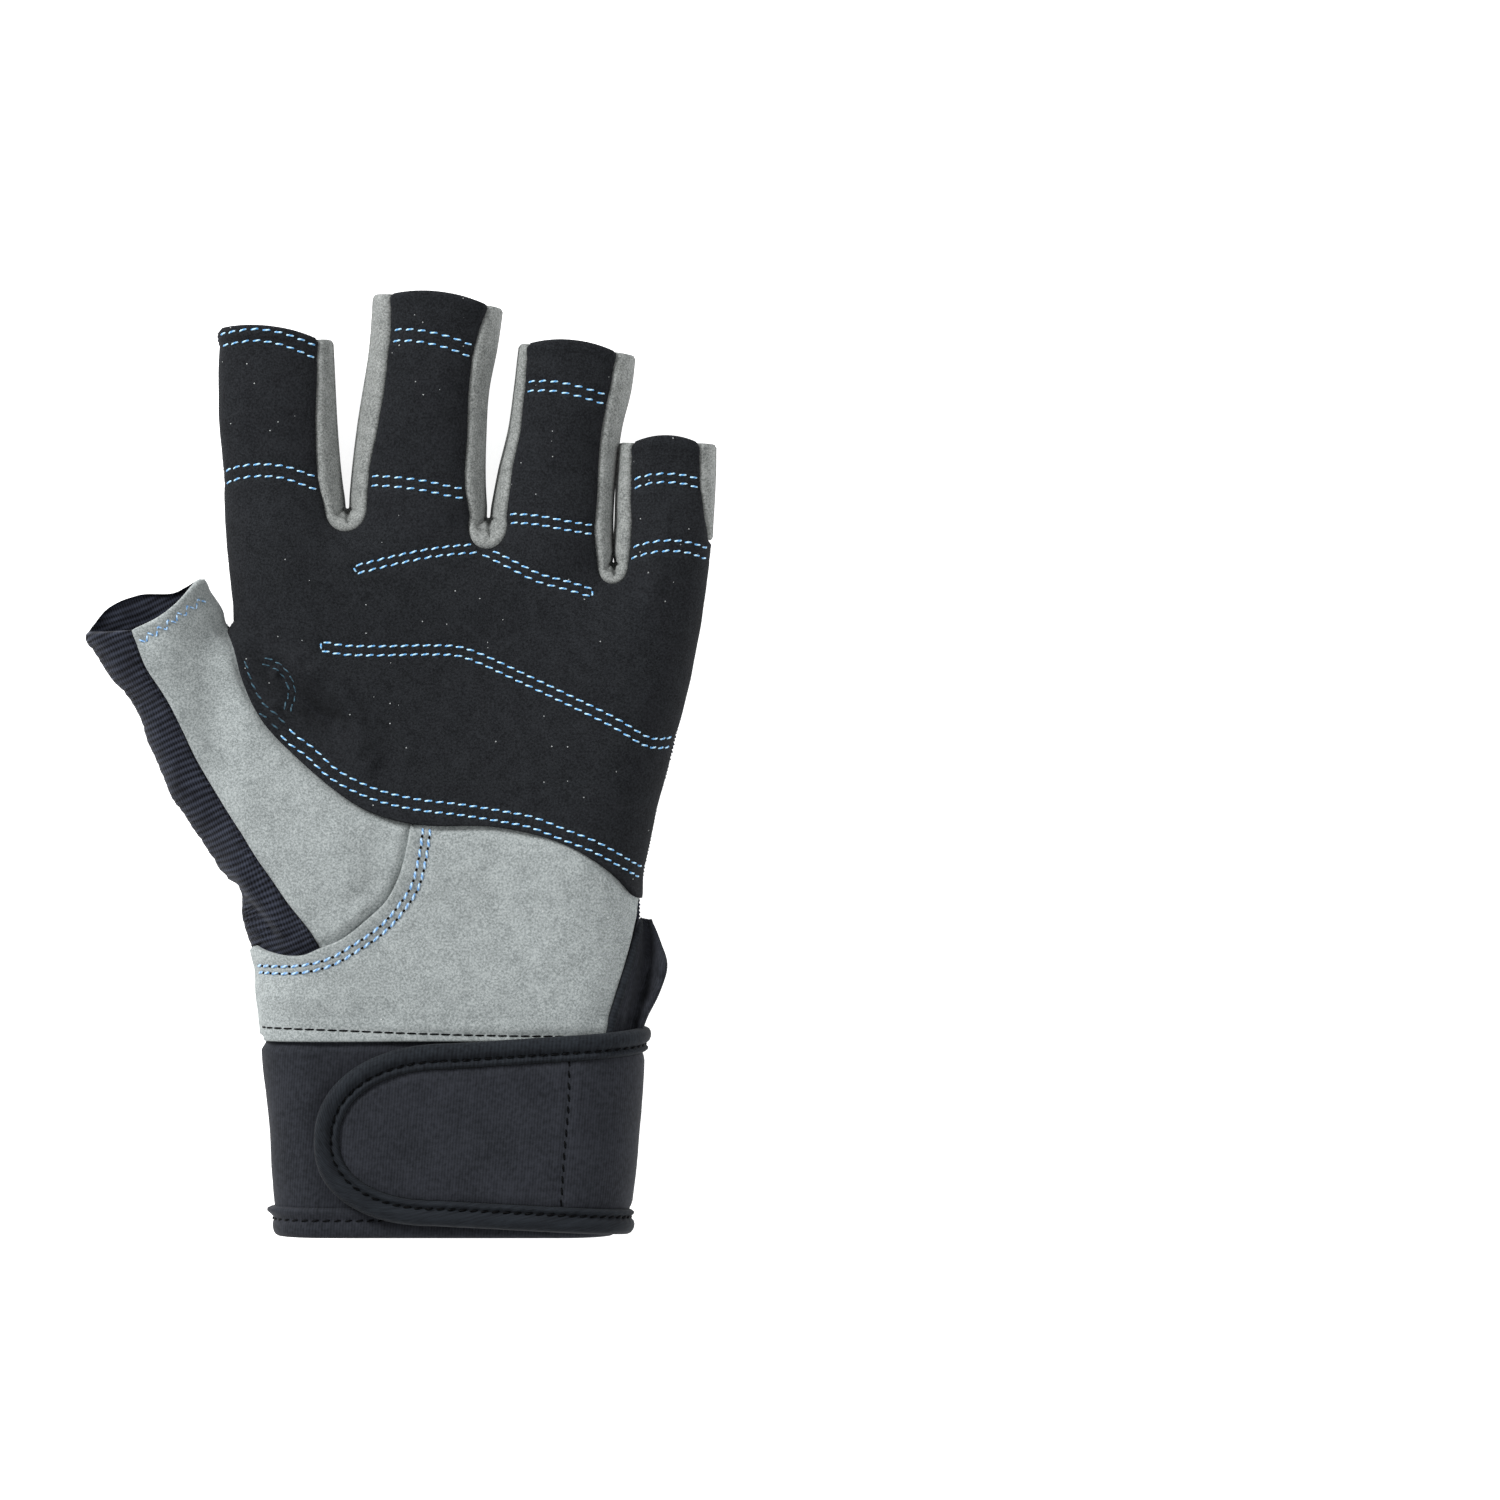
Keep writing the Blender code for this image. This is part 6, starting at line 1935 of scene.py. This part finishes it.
    def build(self) -> None:
        """Builds the strap's panel, its binding and its threads."""
        fin = self.finishes
        dress(self.panel(), "strap_panel", fin.neoprene)
        dress(self.binding(), "strap_binding", fin.binding)
        edge = resample(self.edge(self.stitch_inset), 0.5 * MM)
        line = self.wrap.place(edge[:, 0], edge[:, 1], self.base + 2.45 * MM)
        cross = self.cross_line()
        cross = self.wrap.place(cross[:, 0], cross[:, 1], self.panel_height(cross))
        sew("strap_stitches", [line, cross], fin.threads[ThreadColour.BLACK])


# The vent's flap. Columns of the rows: share of the palm's length, share of the flap's flare.
VENT_ROWS = ((0.262, 0.0), (0.24, 0.3), (0.19, 0.72), (0.143, 1.0), (0.097, 0.86), (0.04, 0.55), (0.0, 0.42))
# Columns of its section: share of the way from the heel's seam to the side, share of the flare outward,
# share of the depth upward.
VENT_SECTION = (
    (0.0, 0.0, 0.0), (0.18, 0.07, 0.06), (0.32, 0.18, 0.02), (0.4, 0.3, -0.42), (0.48, 0.42, -0.58),
    (0.56, 0.54, -0.3), (0.66, 0.76, 0.4), (0.76, 1.0, 0.55), (0.86, 0.95, 0.25), (0.94, 0.55, 0.03),
    (1.0, 0.0, 0.0),
)


@dataclass
class Vent(Part):
    """The vent beside the heel: a gusset that dips behind the bound seam and flares out in a round flap."""

    flare: float = 6.5 * MM
    depth: float = 5 * MM
    cloth: float = 0.9 * MM
    roll: float = 0.95 * MM
    cut: Pair = (22 * MM, 25 * MM)

    def gusset(self) -> Object:
        """The gusset."""
        form = self.form
        seam = form.heel_side[::-1]
        heights = np.arange(0.2 * MM, seam[-1, 1], 0.8 * MM)
        side = form.hand_side[::-1]
        outline = np.column_stack([np.interp(heights, side[:, 1], side[:, 0]), heights])
        show = outline[:, 0] - np.interp(heights, seam[:, 1], seam[:, 0])
        kept = show > 0.5 * MM
        heights, outline, show = heights[kept], outline[kept], show[kept]
        inward = right_normals(outline[::-1])[::-1]
        front = np.arccos(1 - show / form.round_width(outline))
        rows = smooth_path(np.array(VENT_ROWS[::-1]), 0.01)
        flare = np.clip(np.interp(heights / form.palm_length, rows[:, 0], rows[:, 1]), 0, 1)
        made = []
        for share, out, up in smooth_path(VENT_SECTION, 0.02):
            places = form.at_angle(outline, inward, front * (1 - share), 1)[0]
            places[:, :2] -= inward * (out * self.flare * flare)[:, None]
            flat = np.column_stack([heights, np.full(len(heights), 9 * share * MM)])
            wave = noise_at(flat, 3.4 * MM, 15.2)
            places[:, 2] += (up + 0.32 * wave * ramp(share, (0.3, 0.55))) * self.depth * flare
            made.append(places)
        places = np.stack(made, axis=1)
        normals = grid_normals(places)
        around = np.cumsum(np.linalg.norm(np.diff(places, axis=1, prepend=places[:, :1]), axis=2), axis=1)
        cloth = np.stack([around, np.broadcast_to(heights[:, None], around.shape)], axis=2)
        return thick_cloth("vent_gusset_cloth", ClothMesh.grid(places, normals, cloth), self.cloth)

    def bound_edge(self) -> Object:
        """The rolled binding on the heel's seam beside the vent."""
        line = resample(self.form.heel_side, 0.7 * MM) + (0.45 * MM, 0.0)
        places, normals = self.form.surface(line[inside(line, self.outline())], 1)
        places = places + normals * 0.15 * MM
        beside = np.cross(normals, normalised(np.gradient(places, axis=0)))
        along = path_lengths(places)
        radii = self.roll * np.minimum(1, 0.25 + along / (4 * MM))
        return new_object("vent_bound_edge", *tube(places, beside, normals, radii, along, 14))

    def outline(self) -> Array:
        """The glove's plan beside the vent, as a closed border."""
        side = self.form.hand_side
        side = side[(side[:, 1] > -0.5 * MM) & (side[:, 1] < 34 * MM)]
        return np.vstack([side, [(0.0, side[-1, 1]), (0.0, side[0, 1])]])

    def build(self) -> None:
        """Builds the gusset and the bound edge."""
        fin = self.finishes
        dress(self.gusset(), "vent_gusset", fin.neoprene)
        edge = self.bound_edge()
        edge.data.materials.append(fin.binding)
        ride(edge)


@dataclass
class Studio:
    """A white paper floor under soft light, seen from straight above as in the photograph."""

    # The width of the picture at the glove's mid height, the camera's aim, its height and that mid height
    view_width: float = 0.318
    aim: Pair = (0.0657, 0.0073)
    height: float = 1.6
    level: float = 0.012
    sensor: float = 36.0
    # The paper reaches this far from the middle, and lies this much under the glove
    floor_reach: float = 3.0
    floor_drop: float = 0.2 * MM
    # Softboxes. Columns: name, place, side, power in watts.
    softboxes: tuple[tuple[str, tuple[float, float, float], float, float], ...] = (
        ("softbox_left", (-1.2, 1.1, 0.95), 0.7, 46.0), ("softbox_right", (1.2, 0.3, 1.3), 1.2, 12.0),
        ("softbox_front", (0.1, -1.3, 1.3), 1.0, 8.0),
    )
    surround: float = 0.36

    def floor(self) -> None:
        """Lays the paper."""
        mesh = bpy.data.meshes.new("paper_floor")
        half = self.floor_reach
        mesh.from_pydata([(-half, -half, 0), (half, -half, 0), (half, half, 0), (-half, half, 0)], [],
                         [[0, 1, 2, 3]])
        made = bpy.data.objects.new("paper_floor", mesh)
        made.location.z = -self.floor_drop
        made.data.materials.append(Paper("white background paper", "#f6f6f6").material())
        bpy.context.scene.collection.objects.link(made)

    def build(self) -> None:
        """Sets the floor, the light and the camera."""
        self.floor()
        scene = bpy.context.scene
        for name, place, size, power in self.softboxes:
            lamp = bpy.data.lights.new(name, "AREA")
            lamp.size, lamp.energy = size, power
            made = bpy.data.objects.new(name, lamp)
            made.location = place
            made.rotation_euler = Vector(place).to_track_quat("Z", "Y").to_euler()
            scene.collection.objects.link(made)
        scene.world = bpy.data.worlds.new("white_studio")
        scene.world.use_nodes = True
        background = scene.world.node_tree.nodes["Background"]
        background.inputs["Color"].default_value = (1, 1, 1, 1)
        background.inputs["Strength"].default_value = self.surround
        scene.view_settings.view_transform = "Standard"
        camera = bpy.data.cameras.new("camera")
        camera.sensor_width = self.sensor
        camera.lens = self.sensor * (self.height - self.level) / self.view_width
        made = bpy.data.objects.new("camera", camera)
        made.location = (*self.aim, self.height)
        scene.collection.objects.link(made)
        scene.camera = made


def main() -> None:
    """Builds the studio and the glove."""
    logging.basicConfig(level=logging.INFO, format="%(name)s: %(message)s")
    Studio().build()
    finishes = Finishes()
    wrap = WristWrap(GLOVE)
    PalmSide(GLOVE, finishes).build()
    Thumb(GLOVE, finishes).build()
    HandBack(GLOVE, finishes).build()
    FingerStrips(GLOVE, finishes).build()
    Cuff(GLOVE, finishes).build()
    Strap(GLOVE, finishes, wrap).build()
    Vent(GLOVE, finishes).build()


if __name__ == "__main__":
    main()
